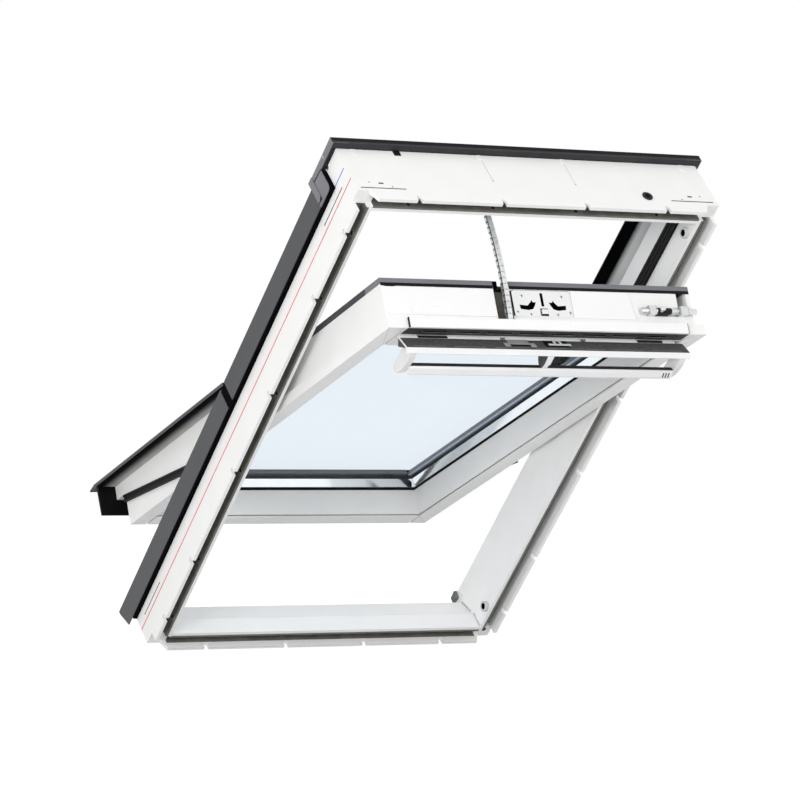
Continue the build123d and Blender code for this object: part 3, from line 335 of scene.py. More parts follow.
# Powder-coated aluminium of the grab bar and flap: white, smooth, with soft highlights along its length.
BAR_WHITE = Finish("White powder-coated aluminium", "#f4f4f5", "#efeff0", 0.3, grain_mm=0.8, bump_mm=0.006,
                   coat=0.2, slot=Slot.PLASTIC)
# Pearl-white cap plastic: pale grey under a clear coat.
PEARL = Finish("Pearl white nylon", "#ececec", "#dfdfdf", 0.28, grain_mm=1.0, bump_mm=0.006, coat=0.3,
               slot=Slot.PLASTIC)
# Dark grey lacquered aluminium sheet: satin, an even coat with a fine grain.
SHEET_GREY = Finish("Grey lacquered aluminium sheet", "#4a4b4e", "#444548", 0.45, grain_mm=0.7, bump_mm=0.006,
                    cloud_mm=140.0, specular=0.3, slot=Slot.CLADDING)
# The same coat on the corner lids, which look paler.
SHEET_LID = Finish("Pale grey lacquered lid sheet", "#7d7c81", "#747378", 0.42, grain_mm=0.7, bump_mm=0.006,
                   cloud_mm=90.0, specular=0.3, slot=Slot.CLADDING)
# The grey sheet's coat made paler on the cover over the sash head: painted light for its face that catches
# the light.
SHEET_PAINTED_LIGHT = Finish("Grey lacquered sheet with painted light", "#7e7e84", "#737379", 0.4, grain_mm=0.7, bump_mm=0.006,
                      cloud_mm=140.0, specular=0.3, slot=Slot.CLADDING)
# The sheet where it is folded under and stays in its own shade.
SHEET_DARK = Finish("Dark folded sheet edge", "#1c1c20", "#161619", 0.6, grain_mm=0.7, bump_mm=0.006,
                    specular=0.08, slot=Slot.CLADDING)
# The lower face of the hood's fold and its return: the grey sheet darkened as painted shade, between the
# sheet and its dark edge.
SHEET_PAINTED_SHADE = Finish("Grey sheet return with painted shade", "#3a3a3d", "#333336", 0.5, grain_mm=0.7, bump_mm=0.006,
                   specular=0.12, slot=Slot.CLADDING)
# Expanded polyethylene foam: matt black with a blue cast and cells of about two millimetres.
FOAM = Finish("Black closed-cell foam", "#07070c", "#030306", 0.95, grain_mm=2.2, bump_mm=0.2, specular=0.05,
              slot=Slot.FOAM)
# The same foam under the upper covers, black at the lap's edge and fading to pale further out: a painted
# shade gradient for the shade under the lap.
LAP_FOAM_SHADE = Finish("Foam with painted shade under the laps", "#07070c", "#030306", 0.95, grain_mm=2.2, bump_mm=0.1,
                  specular=0.05, slot=Slot.FOAM, fade="#dededc", fade_mm=(348.5, 362.0))
# The foam under the low covers, black at the cover's own edge and pale beside the stile: a painted shade
# gradient for the shade under the cover.
EDGE_FOAM_SHADE = Finish("Foam with painted shade under the low covers", "#c9c9c7", "#bfbfbd", 0.95, grain_mm=2.2, bump_mm=0.1,
                   specular=0.05, slot=Slot.FOAM, fade="#050508", fade_mm=(342.0, 374.0))
# EPDM sealing rubber: soft black and dull.
RUBBER = Finish("Black EPDM rubber", "#121213", "#0c0c0d", 0.6, grain_mm=0.8, bump_mm=0.02, specular=0.15,
                slot=Slot.RUBBER)
# Black lacquered drip profile.
DRIP = Finish("Black lacquered drip profile", "#08080a", "#040405", 0.55, grain_mm=0.9, bump_mm=0.01,
              specular=0.12, slot=Slot.RUBBER)
# Matt, clouded grey: painted shade in the lining groove and along the step round the daylight; the same grey
# on the chain slot's liner, the plate's joint, the felt's dashes and the foot wedges.
LINER_AND_SHADE = Finish("Grey liner and painted groove shade", "#7d7c76", "#6b6a65", 0.65, grain_mm=1.2, bump_mm=0.02, cloud_mm=25.0,
               specular=0.2, slot=Slot.GREY)
# The dark grille under the sash head: partly charcoal, partly painted shade for the shadowed gap under the
# head.
GRILLE_AND_SHADE = Finish("Charcoal vent grille and painted shade", "#4a4a4a", "#3c3c3c", 0.6, grain_mm=1.0, bump_mm=0.02, cloud_mm=30.0,
                specular=0.15, slot=Slot.GREY)
# Filter felt in the flap: mid grey, with a grain of 1.5 mm so that it shows.
FELT = Finish("Grey filter felt", "#5e5e5f", "#505051", 0.85, grain_mm=1.5, bump_mm=0.1, cloud_mm=8.0,
              specular=0.1, slot=Slot.GREY)
# Printed set-out lines and scored lines: matt, a fraction of a millimetre thick.
RED_INK = Finish("Red set-out ink", "#ee6a6a", "#e65f5f", 0.7, grain_mm=0.6, bump_mm=0.003, specular=0.1,
                 slot=Slot.DARK)
BLUE_INK = Finish("Blue set-out ink", "#8080e6", "#7575dd", 0.7, grain_mm=0.6, bump_mm=0.003, specular=0.1,
                  slot=Slot.DARK)
# The same black fills the eyelets' dishes and the bores as painted shade in the holes.
BLACK_INK_AND_HOLE_SHADE = Finish("Black scored line and painted hole shade", "#121212", "#0b0b0b", 0.8, grain_mm=0.6, bump_mm=0.003, specular=0.05,
                   slot=Slot.DARK)
# Bright zinc-plated steel: brushed along the window's width.
ZINC = Finish("Bright zinc-plated steel", "#e4e5e6", "#d4d6d7", 0.26, metallic=1.0, grain_mm=0.5,
              bump_mm=0.006, cloud_mm=18.0, stretch=(0.15, 1.0, 1.0), slot=Slot.STEEL)
# Polished chrome of the lock plate.
CHROME = Finish("Polished chrome plate", "#f3f3f4", "#eceded", 0.16, metallic=1.0, grain_mm=0.6,
                bump_mm=0.001, rough_swing=0.02, cloud_mm=60.0, slot=Slot.STEEL)
# The lock case, the eyelets and the chain's rivets are blackened steel; the same black is painted shade
# behind the flap's catch, round the strike window, beside the lock plate, in the screws' cross recesses and
# along the chain's side.
BLACKENED_AND_SHADE = Finish("Blackened steel and painted shade", "#161617", "#0c0c0d", 0.55, grain_mm=0.8, bump_mm=0.01, specular=0.15,
                   slot=Slot.DARK)
# Satin steel of the chain's links, with duller patches.
CHAIN_STEEL = Finish("Satin chain steel", "#eceeee", "#d3d7d6", 0.32, metallic=0.6, grain_mm=0.6,
                     bump_mm=0.008, cloud_mm=9.0, slot=Slot.STEEL)
# Bright rolled aluminium of the spacer between the panes: it mirrors the surround.
SPACER = Finish("Bright rolled aluminium spacer", "#fafbfc", "#f5f6f8", 0.1, metallic=1.0, grain_mm=0.8,
                bump_mm=0.001, rough_swing=0.02, slot=Slot.STEEL)
# Pale anodised aluminium of the hinge sleeves and the hook.
ANODISED = Finish("Pale anodised aluminium", "#f3f5f7", "#e8ebee", 0.35, grain_mm=0.8, bump_mm=0.006,
                  slot=Slot.STEEL)
# A pale strip under the covers' laps, blue-cast at its edge and going to black under the lap: painted shade
# for the lap's shadow.
LAP_SHADE_TAPE = Finish("Pale strip with painted lap shade", "#e8eef6", "#e0e6ef", 0.6, grain_mm=1.5, bump_mm=0.02, specular=0.2,
              slot=Slot.GREY, fade="#17181f", fade_mm=(284.0, 297.0))
# Grey acetal of bushes and joint lines; the pale line on the lid strips' joint is a painted highlight.
ACETAL_AND_GLINT = Finish("Grey moulded acetal and painted glint", "#d4d5d6", "#c8cacb", 0.4, grain_mm=1.0, bump_mm=0.01, slot=Slot.GREY)
# Mid-grey moulded ABS of the hinge clip, the guides' rims and the ends of the head runs.
GREY_ABS = Finish("Grey moulded ABS", "#b0b0ae", "#9e9e9c", 0.45, grain_mm=1.0, bump_mm=0.01, cloud_mm=20.0,
                  specular=0.3, slot=Slot.GREY)
# Charcoal glass-filled nylon.
NYLON = Finish("Charcoal glass-filled nylon", "#1f1f21", "#171719", 0.55, grain_mm=0.7, bump_mm=0.02,
               specular=0.2, slot=Slot.DARK)
# The room pane, and the outer pane with a little more blue.
PANE_ROOM = Glass("Clear float glass", "#f8fbfd")
PANE_OUT = Glass("Coated float glass", "#eff4fa")


@dataclass
class Studio:
    """Camera, soft light, pale floor and white surround.

    Angles are in degrees, places and sizes in metres.  A lamp is its name, place, side and power in watts.
    """

    stand: Point = (-3.86911, -6.93528, 0.32333)
    azimuth: float = 30.24
    elevation: float = 1.23
    focal_px: float = 3963.26
    image_px: int = 800
    sensor_mm: float = 36.0
    sight: float = 100.0
    light: float = 0.72
    floor_half: float = 30.0
    floor_level: float = -0.0005
    floor_matt: float = 0.68
    floor_soft: float = 0.3
    floor_glow: float = 0.86
    boxes: tuple[Lamp, ...] = (("key_box", (-5.0, -3.4, 0.5), 2.6, 178.0),
                               ("fill_box", (0.5, -5.6, 0.9), 3.0, 60.0),
                               ("top_box", (0.0, 0.4, 4.4), 3.5, 8.0))
    target: Point = (0.0, -0.3, 0.5)

    def camera(self) -> None:
        """Stands the camera where the photograph was taken from and points it by azimuth and elevation."""
        data = bpy.data.cameras.new("photo_camera")
        data.sensor_width = self.sensor_mm
        data.lens = self.focal_px * self.sensor_mm / self.image_px
        data.clip_end = self.sight
        body = bpy.data.objects.new("photo_camera", data)
        tilt = Matrix.Rotation(math.radians(90.0 + self.elevation), 4, "X")
        turn = Matrix.Rotation(-math.radians(self.azimuth), 4, "Z") @ tilt
        body.matrix_world = Matrix.Translation(self.stand) @ turn
        bpy.context.scene.collection.objects.link(body)
        bpy.context.scene.camera = body

    def seen(self, tree: bpy.types.NodeTree) -> bpy.types.NodeSocket:
        """Joins camera, glossy and transmission rays into one mask.

        Args:
            tree: The node tree that needs the mask.

        Returns:
            The socket that is one for rays that show the surround.
        """
        path = add(tree, "LightPath")
        first = add(tree, "Math", {0: path.outputs["Is Camera Ray"], 1: path.outputs["Is Glossy Ray"]},
                    operation="MAXIMUM")
        return add(tree, "Math", {0: first.outputs[0], 1: path.outputs["Is Transmission Ray"]},
                   operation="MAXIMUM").outputs[0]

    def surround(self) -> None:
        """Makes the world: white where it is seen, a plain soft level where it lights."""
        world = bpy.data.worlds.new("white_surround")
        bpy.context.scene.world = world
        world.use_nodes = True
        tree = world.node_tree
        tree.nodes.clear()
        show = add(tree, "Background", {"Color": WHITE, "Strength": 1.0})
        lamp = add(tree, "Background", {"Color": WHITE, "Strength": self.light})
        mix = add(tree, "MixShader", {0: self.seen(tree), 1: lamp.outputs[0], 2: show.outputs[0]})
        add(tree, "OutputWorld", {"Surface": mix.outputs[0]})

    def floor(self) -> None:
        """Lays the pale floor at the window's lowest edge: white where it is lit, with the shadow kept."""
        mesh = bpy.data.meshes.new("studio_floor")
        side = (-self.floor_half, self.floor_half)
        corners = [(x, y, self.floor_level) for x, y in box(side, side).tolist()]
        mesh.from_pydata(corners, [], [(0, 1, 2, 3)])
        piece = bpy.data.objects.new("studio_floor", mesh)
        bpy.context.scene.collection.objects.link(piece)
        made = bpy.data.materials.new("Pale studio floor")
        made.use_nodes = True
        tree = made.node_tree
        tree.nodes.clear()
        matt = add(tree, "BsdfDiffuse", {"Color": grey(self.floor_matt)})
        soft = add(tree, "BsdfDiffuse", {"Color": grey(self.floor_soft)})
        glow = add(tree, "Emission", {"Color": WHITE, "Strength": self.floor_glow})
        lit = add(tree, "AddShader", {0: soft.outputs[0], 1: glow.outputs[0]})
        mix = add(tree, "MixShader", {0: self.seen(tree), 1: matt.outputs[0], 2: lit.outputs[0]})
        add(tree, "OutputMaterial", {"Surface": mix.outputs[0]})
        mesh.materials.append(made)

    def lamps(self) -> None:
        """Hangs three soft boxes: a key at the front left, a fill at the right and one over the top."""
        for name, spot, side, power in self.boxes:
            data = bpy.data.lights.new(name, "AREA")
            data.shape = "SQUARE"
            data.size = side
            data.energy = power
            lamp = bpy.data.objects.new(name, data)
            aim = np.array(self.target) - np.array(spot)
            yaw = math.atan2(aim[1], aim[0])
            drop = math.atan2(math.hypot(aim[0], aim[1]), -aim[2])
            stand = Matrix.Translation(spot) @ Matrix.Rotation(yaw - math.pi / 2, 4, "Z")
            lamp.matrix_world = stand @ Matrix.Rotation(drop, 4, "X")
            bpy.context.scene.collection.objects.link(lamp)

    def build(self) -> None:
        """Sets up the whole studio."""
        bpy.context.scene.view_settings.view_transform = "Standard"
        self.camera()
        self.surround()
        self.floor()
        self.lamps()


def box(first: Span, second: Span) -> np.ndarray:
    """The four corners of a rectangle, in order round it."""
    (a, b), (c, d) = first, second
    return np.array([(a, c), (b, c), (b, d), (a, d)])


def prism(outline: np.ndarray, span: Span, axis: Axis) -> np.ndarray:
    """Carries an outline straight along one axis and closes both ends.

    The grid has four rows: the outline's mean, the outline at the start and at the end, and its mean again.

    Args:
        outline: Points in the two other coordinates, in the order x, s, n.
        span: Start and end along the axis.
        axis: The axis.

    Returns:
        The grid of x, s, n points, whose last column joins its first.
    """
    ring = np.asarray(outline, float)
    middle = np.broadcast_to(ring.mean(axis=0), ring.shape)
    rows = np.stack((middle, ring, ring, middle))
    along = np.broadcast_to(np.array((span[0], span[0], span[1], span[1]))[:, None], rows.shape[:2])
    return np.insert(rows, axis.value, along, axis=-1)


def lathe(profile: np.ndarray, centre: Point, axis: Axis, steps: int = 28) -> np.ndarray:
    """Turns a profile about an axis: the ring of row i has radius r and stands h along it from the centre.

    Args:
        profile: Rows of radius and height; a radius of zero at each end closes the shape.
        centre: The point that heights are measured from.
        axis: The axis.
        steps: Points round each ring.

    Returns:
        The grid of x, s, n points, whose last column joins its first.
    """
    angle = np.linspace(0.0, 2.0 * np.pi, steps, endpoint=False)
    rows = np.asarray(profile, float)
    ring = rows[:, :1, None] * np.stack((np.cos(angle), np.sin(angle)), axis=-1)[None]
    along = np.broadcast_to(rows[:, 1:], ring.shape[:2])
    return np.insert(ring, axis.value, along, axis=-1) + np.array(centre)


def tube(path: np.ndarray, radius: float, steps: int = 12) -> np.ndarray:
    """Carries a circle along a path that lies in a plane of constant x.

    The ring at each point is spanned by the x direction and the path's own normal, and shrinks to a point at
    both ends.

    Args:
        path: Points in x, s, n.
        radius: The circle's radius.
        steps: Points round it.

    Returns:
        The grid of x, s, n points, whose last column joins its first.
    """
    line = np.concatenate((path[:1], path, path[-1:]))
    run = np.gradient(path, axis=0)
    run = np.concatenate((run[:1], run, run[-1:]))
    run = run / np.linalg.norm(run, axis=1)[:, None]
    across = np.array((1.0, 0.0, 0.0))
    out = np.cross(run, across)
    size = np.full(len(line), radius)
    size[[0, -1]] = 0.0
    angle = np.linspace(0.0, 2.0 * np.pi, steps, endpoint=False)
    ring = np.cos(angle)[None, :, None] * across + np.sin(angle)[None, :, None] * out[:, None, :]
    return line[:, None, :] + size[:, None, None] * ring


@dataclass
class Bench:
    """Turns computed grids into pieces and gives carried-over nodes their finishes.

    Distances for joining points are in metres, angles in degrees.
    """

    doubled: float = 1e-6
    emptied: float = 1e-7
    welded: float = 0.00002
    sharp: float = 40.0
    rounded: float = 35.0
    segments: int = 2

    def quads(self, rows: int, cols: int, first: int) -> np.ndarray:
        """Corner numbers of a grid's faces, the last column joined to the first.

        Args:
            rows: Rows of the grid.
            cols: Columns of the grid.
            first: Number of the grid's first point.

        Returns:
            Four corner numbers a row: a point, the next one round, and the same two on the next row.
        """
        row = np.arange(rows - 1)[:, None] * cols
        col = np.arange(cols)[None, :]
        after = (col + 1) % cols
        corners = (row + col, row + after, row + cols + after, row + cols + col)
        return first + np.stack(corners, axis=-1).reshape(-1, 4)

    def piece(self, name: str, grids: list[np.ndarray], finish: Finish, seat: Seat, body: str = "",
              soft: float = 0.0) -> bpy.types.Object:
        """Makes one piece of one or more closed grids and lets it ride.

        Args:
            name: The piece's name.
            grids: Closed grids in x, s, n millimetres.
            finish: Its finish.
            seat: The drawing plane of the points.
            body: The body that carries it, where that isn't the seat's own.
            soft: Width of the rounded edges in millimetres.

        Returns:
            The new object.
        """
        starts = np.cumsum([0] + [grid.shape[0] * grid.shape[1] for grid in grids]).tolist()
        points = np.concatenate([grid.reshape(-1, 3) for grid in grids])
        faces = np.concatenate([self.quads(*grid.shape[:2], first) for grid, first in zip(grids, starts)])
        mesh = bpy.data.meshes.new(name)
        mesh.from_pydata(LAYOUT.world(points, seat).tolist(), [], faces.tolist())
        self.clean(mesh)
        made = bpy.data.objects.new(name, mesh)
        bpy.context.scene.collection.objects.link(made)
        mesh.materials.append(finish.material())
        mesh.polygons.foreach_set("use_smooth", np.ones(len(mesh.polygons), dtype=bool))
        mesh.set_sharp_from_angle(angle=math.radians(self.sharp))
        if soft:
            self.soften(made, soft)
        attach(made, body or seat.value)
        LOG.info("made %s in %s", name, finish.name)
        return made

    def clean(self, mesh: bpy.types.Mesh) -> None:
        """Joins doubled points, drops the faces that they empty and turns the rest outwards.

        Args:
            mesh: The mesh, which is changed in place.
        """
        work = bmesh.new()
        work.from_mesh(mesh)
        bmesh.ops.remove_doubles(work, verts=work.verts, dist=self.doubled)
        bmesh.ops.dissolve_degenerate(work, edges=work.edges, dist=self.emptied)
        bmesh.ops.recalc_face_normals(work, faces=work.faces)
        work.to_mesh(mesh)
        work.free()

    def soften(self, made: bpy.types.Object, width: float) -> None:
        """Rounds an object's sharp edges.

        Args:
            made: The object.
            width: Width of the rounding in millimetres.
        """
        edge = made.modifiers.new("soft_edges", "BEVEL")
        edge.width = width / MM_PER_M
        edge.segments = self.segments
        edge.limit_method = "ANGLE"
        edge.angle_limit = math.radians(self.rounded)

    def wear(self, finish: Finish | Glass, *nodes: str, soft: float = 0.0) -> None:
        """Gives carried-over nodes a finish and, where asked, softened edges.

        Args:
            finish: The finish.
            *nodes: Node names.
            soft: Width of the rounded edges in millimetres.
        """
        for name in nodes:
            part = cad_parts[name]
            part.data.materials.clear()
            part.data.materials.append(finish.material())
            if soft:
                weld = part.modifiers.new("join_faces", "WELD")
                weld.merge_threshold = self.welded
                self.soften(part, soft)
            LOG.info("dressed %s in %s", name, finish.name)


BENCH = Bench()


def sides(*stems: str) -> tuple[str, ...]:
    """Names of the left and right node of each stem."""
    return tuple(f"{stem}_{side}" for stem in stems for side in ("left", "right"))


def hands(grid: np.ndarray) -> list[np.ndarray]:
    """A grid and its mirror image in the window's middle plane."""
    return [grid, grid * np.array((-1.0, 1.0, 1.0))]


@dataclass(frozen=True)
class Plain:
    """A piece made of straight blocks.

    A block is its spans in x, s and n.  Its ends are closed on the given axis, and both asks for the mirror
    image of each block as well.
    """

    name: str
    finish: Finish
    axis: Axis
    blocks: tuple[Block, ...]
    both: bool = False
    soft: float = 0.0

    def build(self, seat: Seat, origin: Span = (0.0, 0.0)) -> None:
        """Makes the piece.

        Args:
            seat: The drawing plane of the blocks.
            origin: The s and n that the blocks are measured from.
        """
        start = (0.0, *origin)
        grids: list[np.ndarray] = []
        for block in self.blocks:
            spans = [(low + zero, high + zero) for (low, high), zero in zip(block, start)]
            along = spans.pop(self.axis.value)
            grid = prism(box(*spans), along, self.axis)
            grids += hands(grid) if self.both else [grid]
        BENCH.piece(self.name, grids, self.finish, seat, soft=self.soft)


@dataclass
class FrameTrim:
    """The white frame: its set-out lines, groove liners, holes, plugs, tabs and corner beads; the liners, the
    holes' dark dishes and the plugs are painted shade.

    Liner walls are measured from the frame's outer edge, first inwards and then in n.
    """

    side_face: Span = (-390.25, -389.9)
    head_face: Span = (1177.9, 1178.25)
    tab_face: Span = (1177.9, 1178.9)
    run_face: Span = (1177.9, 1178.2)
    plain: tuple[Plain, ...] = (
        Plain("red_set_out_lines", RED_INK, Axis.UP, ((side_face, (1.0, 1177.0), (53.9, 56.1)),), True),
        Plain("blue_set_out_lines", BLUE_INK, Axis.UP, ((side_face, (1125.0, 1172.0), (85.9, 88.1)),), True),
        Plain("scored_lines", BLACK_INK_AND_HOLE_SHADE, Axis.UP, (
            (side_face, (1052.0, 1144.0), (66.1, 67.9)), (side_face, (32.0, 123.0), (66.1, 67.9)),
            ((-380.5, -286.5), head_face, (28.2, 30.0)), ((-338.8, -328.8), head_face, (41.1, 44.1)),
            ((-358.7, -356.3), head_face, (43.4, 45.4)), ((-314.2, -311.8), head_face, (33.2, 35.2))), True),
        Plain("casing_clip", BLACKENED_AND_SHADE, Axis.OUT, (((-273.0, -259.0), (1177.9, 1179.2), (121.8, 141.0)),),
              soft=0.3),
        Plain("casing_tabs", MOULDING, Axis.OUT, (
            ((-362.0, -350.0), tab_face, (118.5, 134.0)),
            ((-95.0, -86.0), tab_face, (122.0, 134.0))), True, 0.7),
        Plain("head_runs", ACETAL_AND_GLINT, Axis.OUT, (((-90.2, -88.8), run_face, (64.0, 122.0)),), True),
        Plain("head_run_ends", GREY_ABS, Axis.OUT, (((-91.2, -87.8), run_face, (61.8, 64.0)),), True))
    half: float = 390.0
    inner: float = 352.4
    length: float = 1178.0
    liner_run: Span = (30.0, 1148.0)
    liner_floor: tuple[Span, Span] = ((7.1, 26.4), (27.3, 27.9))
    liner_inner: tuple[Span, Span] = ((25.8, 26.4), (10.3, 27.3))
    liner_outer: tuple[Span, Span] = ((7.1, 7.7), (13.6, 27.3))
    liner_flange: tuple[Span, Span] = ((26.1, 30.5), (9.5, 10.0))
    notches_up: tuple[float, ...] = (88.0, 248.0, 488.0, 690.0, 930.1, 1090.0)
    notches_across: tuple[float, ...] = (-268.0, -89.5, 89.5, 268.0)
    ring: Outline = ((1.7, 0.0), (1.7, -0.7), (2.9, -0.7), (3.3, 0.0), (1.7, 0.0))
    dish: Outline = ((0.0, -0.5), (1.7, -0.4), (1.7, 0.0), (0.0, 0.0))
    eyelet_in: float = 25.8
    eyelet_n: float = 17.5
    eyelet_up: float = 10.0
    eyelet_across: float = 9.0
    bushes: tuple[Point, ...] = ((352.4, 84.0, 24.5), (352.4, 1104.2, 24.5))
    sleeve: Outline = ((6.2, -7.3), (6.55, -7.3), (6.55, 4.0), (6.2, 4.0), (6.2, -7.3))
    sleeve_end: Outline = ((0.0, 4.0), (6.5, 4.0), (6.5, 5.0), (0.0, 5.0))
    corner_eye: Outline = ((0.0, -0.25), (4.6, -0.25), (4.6, 0.1), (0.0, 0.1))
    corner_spot: Point = (-373.4, 19.2, 20.8)
    bead_radius: float = 2.6
    bead_rows: int = 8
    sill_bead: tuple[Point, Point] = ((352.0, 38.4, 12.0), (352.0, 38.4, 47.0))
    bevel_bead: tuple[Point, Point] = ((352.0, 32.6, 57.5), (352.0, 21.4, 94.0))
    wedge: Outline = ((2.0, 112.0), (19.0, 110.0), (23.0, 126.0), (3.0, 124.0))
    wedge_x: Span = (344.5, 352.2)

    def dress(self) -> None:
        """Gives the frame's own nodes their finishes."""
        BENCH.wear(MOULDING, "frame_left", "frame_right", "frame_top", "frame_bottom")
        BENCH.wear(FOAM, "head_foam", *sides("side_foam"))
        BENCH.wear(RUBBER, *sides("frame_seal"))
        BENCH.wear(ZINC, *sides("track_plate"), "strike_plate", soft=0.4)
        BENCH.wear(ACETAL_AND_GLINT, "bolt_bushes", soft=0.8)
        BENCH.wear(NYLON, "cable_grommet", "chain_bracket", soft=0.5)

    def liners(self) -> None:
        """Grey channels in the lining groove as painted shade: a floor, two walls and a flange, bare on the
        right outside.
        """
        across = (-self.inner, self.inner)
        grids: list[np.ndarray] = []
        for wall in (self.liner_floor, self.liner_inner, self.liner_outer, self.liner_flange):
            (near, far), n = wall
            pair = hands(prism(box((near - self.half, far - self.half), n), self.liner_run, Axis.UP))
            grids += pair[:1] if wall is self.liner_outer else pair
            grids.append(prism(box((near, far), n), across, Axis.ACROSS))
            grids.append(prism(box((self.length - far, self.length - near), n), across, Axis.ACROSS))
        BENCH.piece("groove_shade_liners", grids, LINER_AND_SHADE, Seat.FRAME)

    def holes(self) -> None:
        """Eyelets in the liners' inner walls beside each lip notch: a raised ring round a dark dish of
        painted shade.
        """
        wall, n = self.eyelet_in, self.eyelet_n
        for name, outline, finish in (("liner_eyelets", self.ring, BLACKENED_AND_SHADE),
                                      ("eyelet_hole_shade", self.dish, BLACK_INK_AND_HOLE_SHADE)):
            shape = np.array(outline)
            grids: list[np.ndarray] = []
            for s in self.notches_up:
                grids += hands(lathe(shape, (wall - self.half, s - self.eyelet_up, n), Axis.ACROSS, 16))
            for x in self.notches_across:
                grids.append(lathe(shape, (x + self.eyelet_across, wall, n), Axis.UP, 16))
                far = (x - self.eyelet_across, self.length - wall, n)
                grids.append(lathe(shape * (1.0, -1.0), far, Axis.UP, 16))
            BENCH.piece(name, grids, finish, Seat.FRAME)

    def plugs(self) -> None:
        """Dark painted shade in the bores of the bolt bushes and the foot corner holes."""
        shapes = (np.array(self.sleeve), np.array(self.sleeve_end))
        grids = [lathe(shape, spot, Axis.ACROSS) for shape in shapes for spot in self.bushes]
        grids += hands(lathe(np.array(self.corner_eye), self.corner_spot, Axis.OUT))
        BENCH.piece("bore_shade", grids, BLACK_INK_AND_HOLE_SHADE, Seat.FRAME)

    def beads(self) -> None:
        """Beads that close the joint of sill and sides: a round rod up the sill's face, then up its bevel."""
        paths = [np.linspace(*ends, self.bead_rows) for ends in (self.sill_bead, self.bevel_bead)]
        grids = [grid for path in paths for grid in hands(tube(path, self.bead_radius))]
        BENCH.piece("corner_beads", grids, ZINC, Seat.FRAME)
        wedges = hands(prism(np.array(self.wedge), self.wedge_x, Axis.ACROSS))
        BENCH.piece("foot_wedges", wedges, LINER_AND_SHADE, Seat.FRAME, soft=0.5)

    def build(self) -> None:
        """Dresses the frame and adds its trim."""
        self.dress()
        for plan in self.plain:
            plan.build(Seat.FRAME)
        self.liners()
        self.holes()
        self.plugs()
        self.beads()


@dataclass
class HoodTrim:
    """The grey sheet over the frame: its finishes, the folded front edge of the hood and the lid marks."""

    across: Span = (-400.4, 400.4)
    front: Span = (1190.4, 1190.8)
    lid_skin: Span = (-400.75, -400.3)
    plain: tuple[Plain, ...] = (
        Plain("hood_upper_fold", SHEET_DARK, Axis.ACROSS, ((across, front, (140.5, 149.7)),)),
        # Painted highlight: a pale line across each lid strip at its joint.
        Plain("lid_strip_glints", ACETAL_AND_GLINT, Axis.ACROSS, ((lid_skin, (1147.3, 1148.7), (139.8, 149.6)),), True),
        Plain("lid_clips", ZINC, Axis.UP, (((-391.6, -389.9), (1131.0, 1139.0), (127.5, 134.4)),), True, 0.4))
    lower_fold: Span = (136.6, 140.0)
    under: Outline = ((1190.5, 136.6), (1190.5, 137.6), (1178.4, 135.9), (1178.4, 134.9))
    under_x: Span = (-398.0, 398.0)
    lining_run: Span = (596.6, 1078.0)
    flat: tuple[Span, Span] = ((-352.0, -321.5), (158.0, 158.8))
    slope: Outline = ((-352.0, 158.0), (-352.0, 158.8), (-383.6, 141.6), (-383.6, 140.8))
    lid_joint: Outline = ((1126.5, 133.4), (1126.5, 136.0), (1091.0, 138.8), (1091.0, 136.2))
    lid_step: Outline = ((1079.3, 146.5), (1081.5, 149.3), (1091.5, 128.0), (1080.0, 128.8))
    lid_rim: Outline = ((1087.6, 132.6), (1093.8, 95.0), (1091.0, 92.6), (1078.0, 95.0), (1078.0, 127.0))
    rim_skin: Span = (-401.2, -400.0)
    screw_spot: Point = (-400.6, 1085.6, 104.3)
    screw_radius: float = 3.3
    screw_dome: float = 0.9
    screw_edge: float = 0.4
    screw_seat: float = 0.2

    def dress(self) -> None:
        """Gives the frame's covers their finish."""
        BENCH.wear(SHEET_GREY, *sides("lower_cover", "upper_cover"), "head_casing")
        BENCH.wear(SHEET_LID, *sides("casing_lid"))

    def fold(self) -> None:
        """The lower face of the hood's front edge and the return under it to the frame, in sheet darkened as
        painted shade.
        """
        lower = prism(box(self.front, self.lower_fold), self.across, Axis.ACROSS)
        under = prism(np.array(self.under), self.under_x, Axis.ACROSS)
        BENCH.piece("hood_lower_fold", [lower, under], SHEET_PAINTED_SHADE, Seat.FRAME)

    def linings(self) -> None:
        """Foam under the upper covers, fading to pale as painted shade: one strip under the flat lap and one
        under the slope.
        """
        flat = prism(box(*self.flat), self.lining_run, Axis.UP)
        slope = prism(np.array(self.slope), self.lining_run, Axis.UP)
        BENCH.piece("cover_linings_shade", hands(flat) + hands(slope), LAP_FOAM_SHADE, Seat.FRAME)

    def lid_marks(self) -> None:
        """Dark joint lines on the lids' side faces and the shaded step and rim at their foot."""
        grids: list[np.ndarray] = []
        for outline, skin in ((self.lid_joint, self.lid_skin), (self.lid_step, self.lid_skin),
                              (self.lid_rim, self.rim_skin)):
            grids += hands(prism(np.array(outline), skin, Axis.ACROSS))
        BENCH.piece("lid_joint_lines", grids, SHEET_DARK, Seat.FRAME)

    def screws(self) -> None:
        """Domed screw heads on the lid tabs: the dome's height falls with the square of its radius."""
        share = np.linspace(0.0, 1.0, 7)
        height = -self.screw_edge - self.screw_dome * (1.0 - share ** 2)
        dome = np.stack((self.screw_radius * share, height), axis=-1)
        dome = np.concatenate((dome, [(self.screw_radius, self.screw_seat), (0.0, self.screw_seat)]))
        BENCH.piece("lid_screws", hands(lathe(dome, self.screw_spot, Axis.ACROSS)), ZINC, Seat.FRAME)

    def build(self) -> None:
        """Dresses the covers and adds their trim."""
        self.dress()
        for plan in self.plain:
            plan.build(Seat.FRAME)
        self.fold()
        self.linings()
        self.lid_marks()
        self.screws()


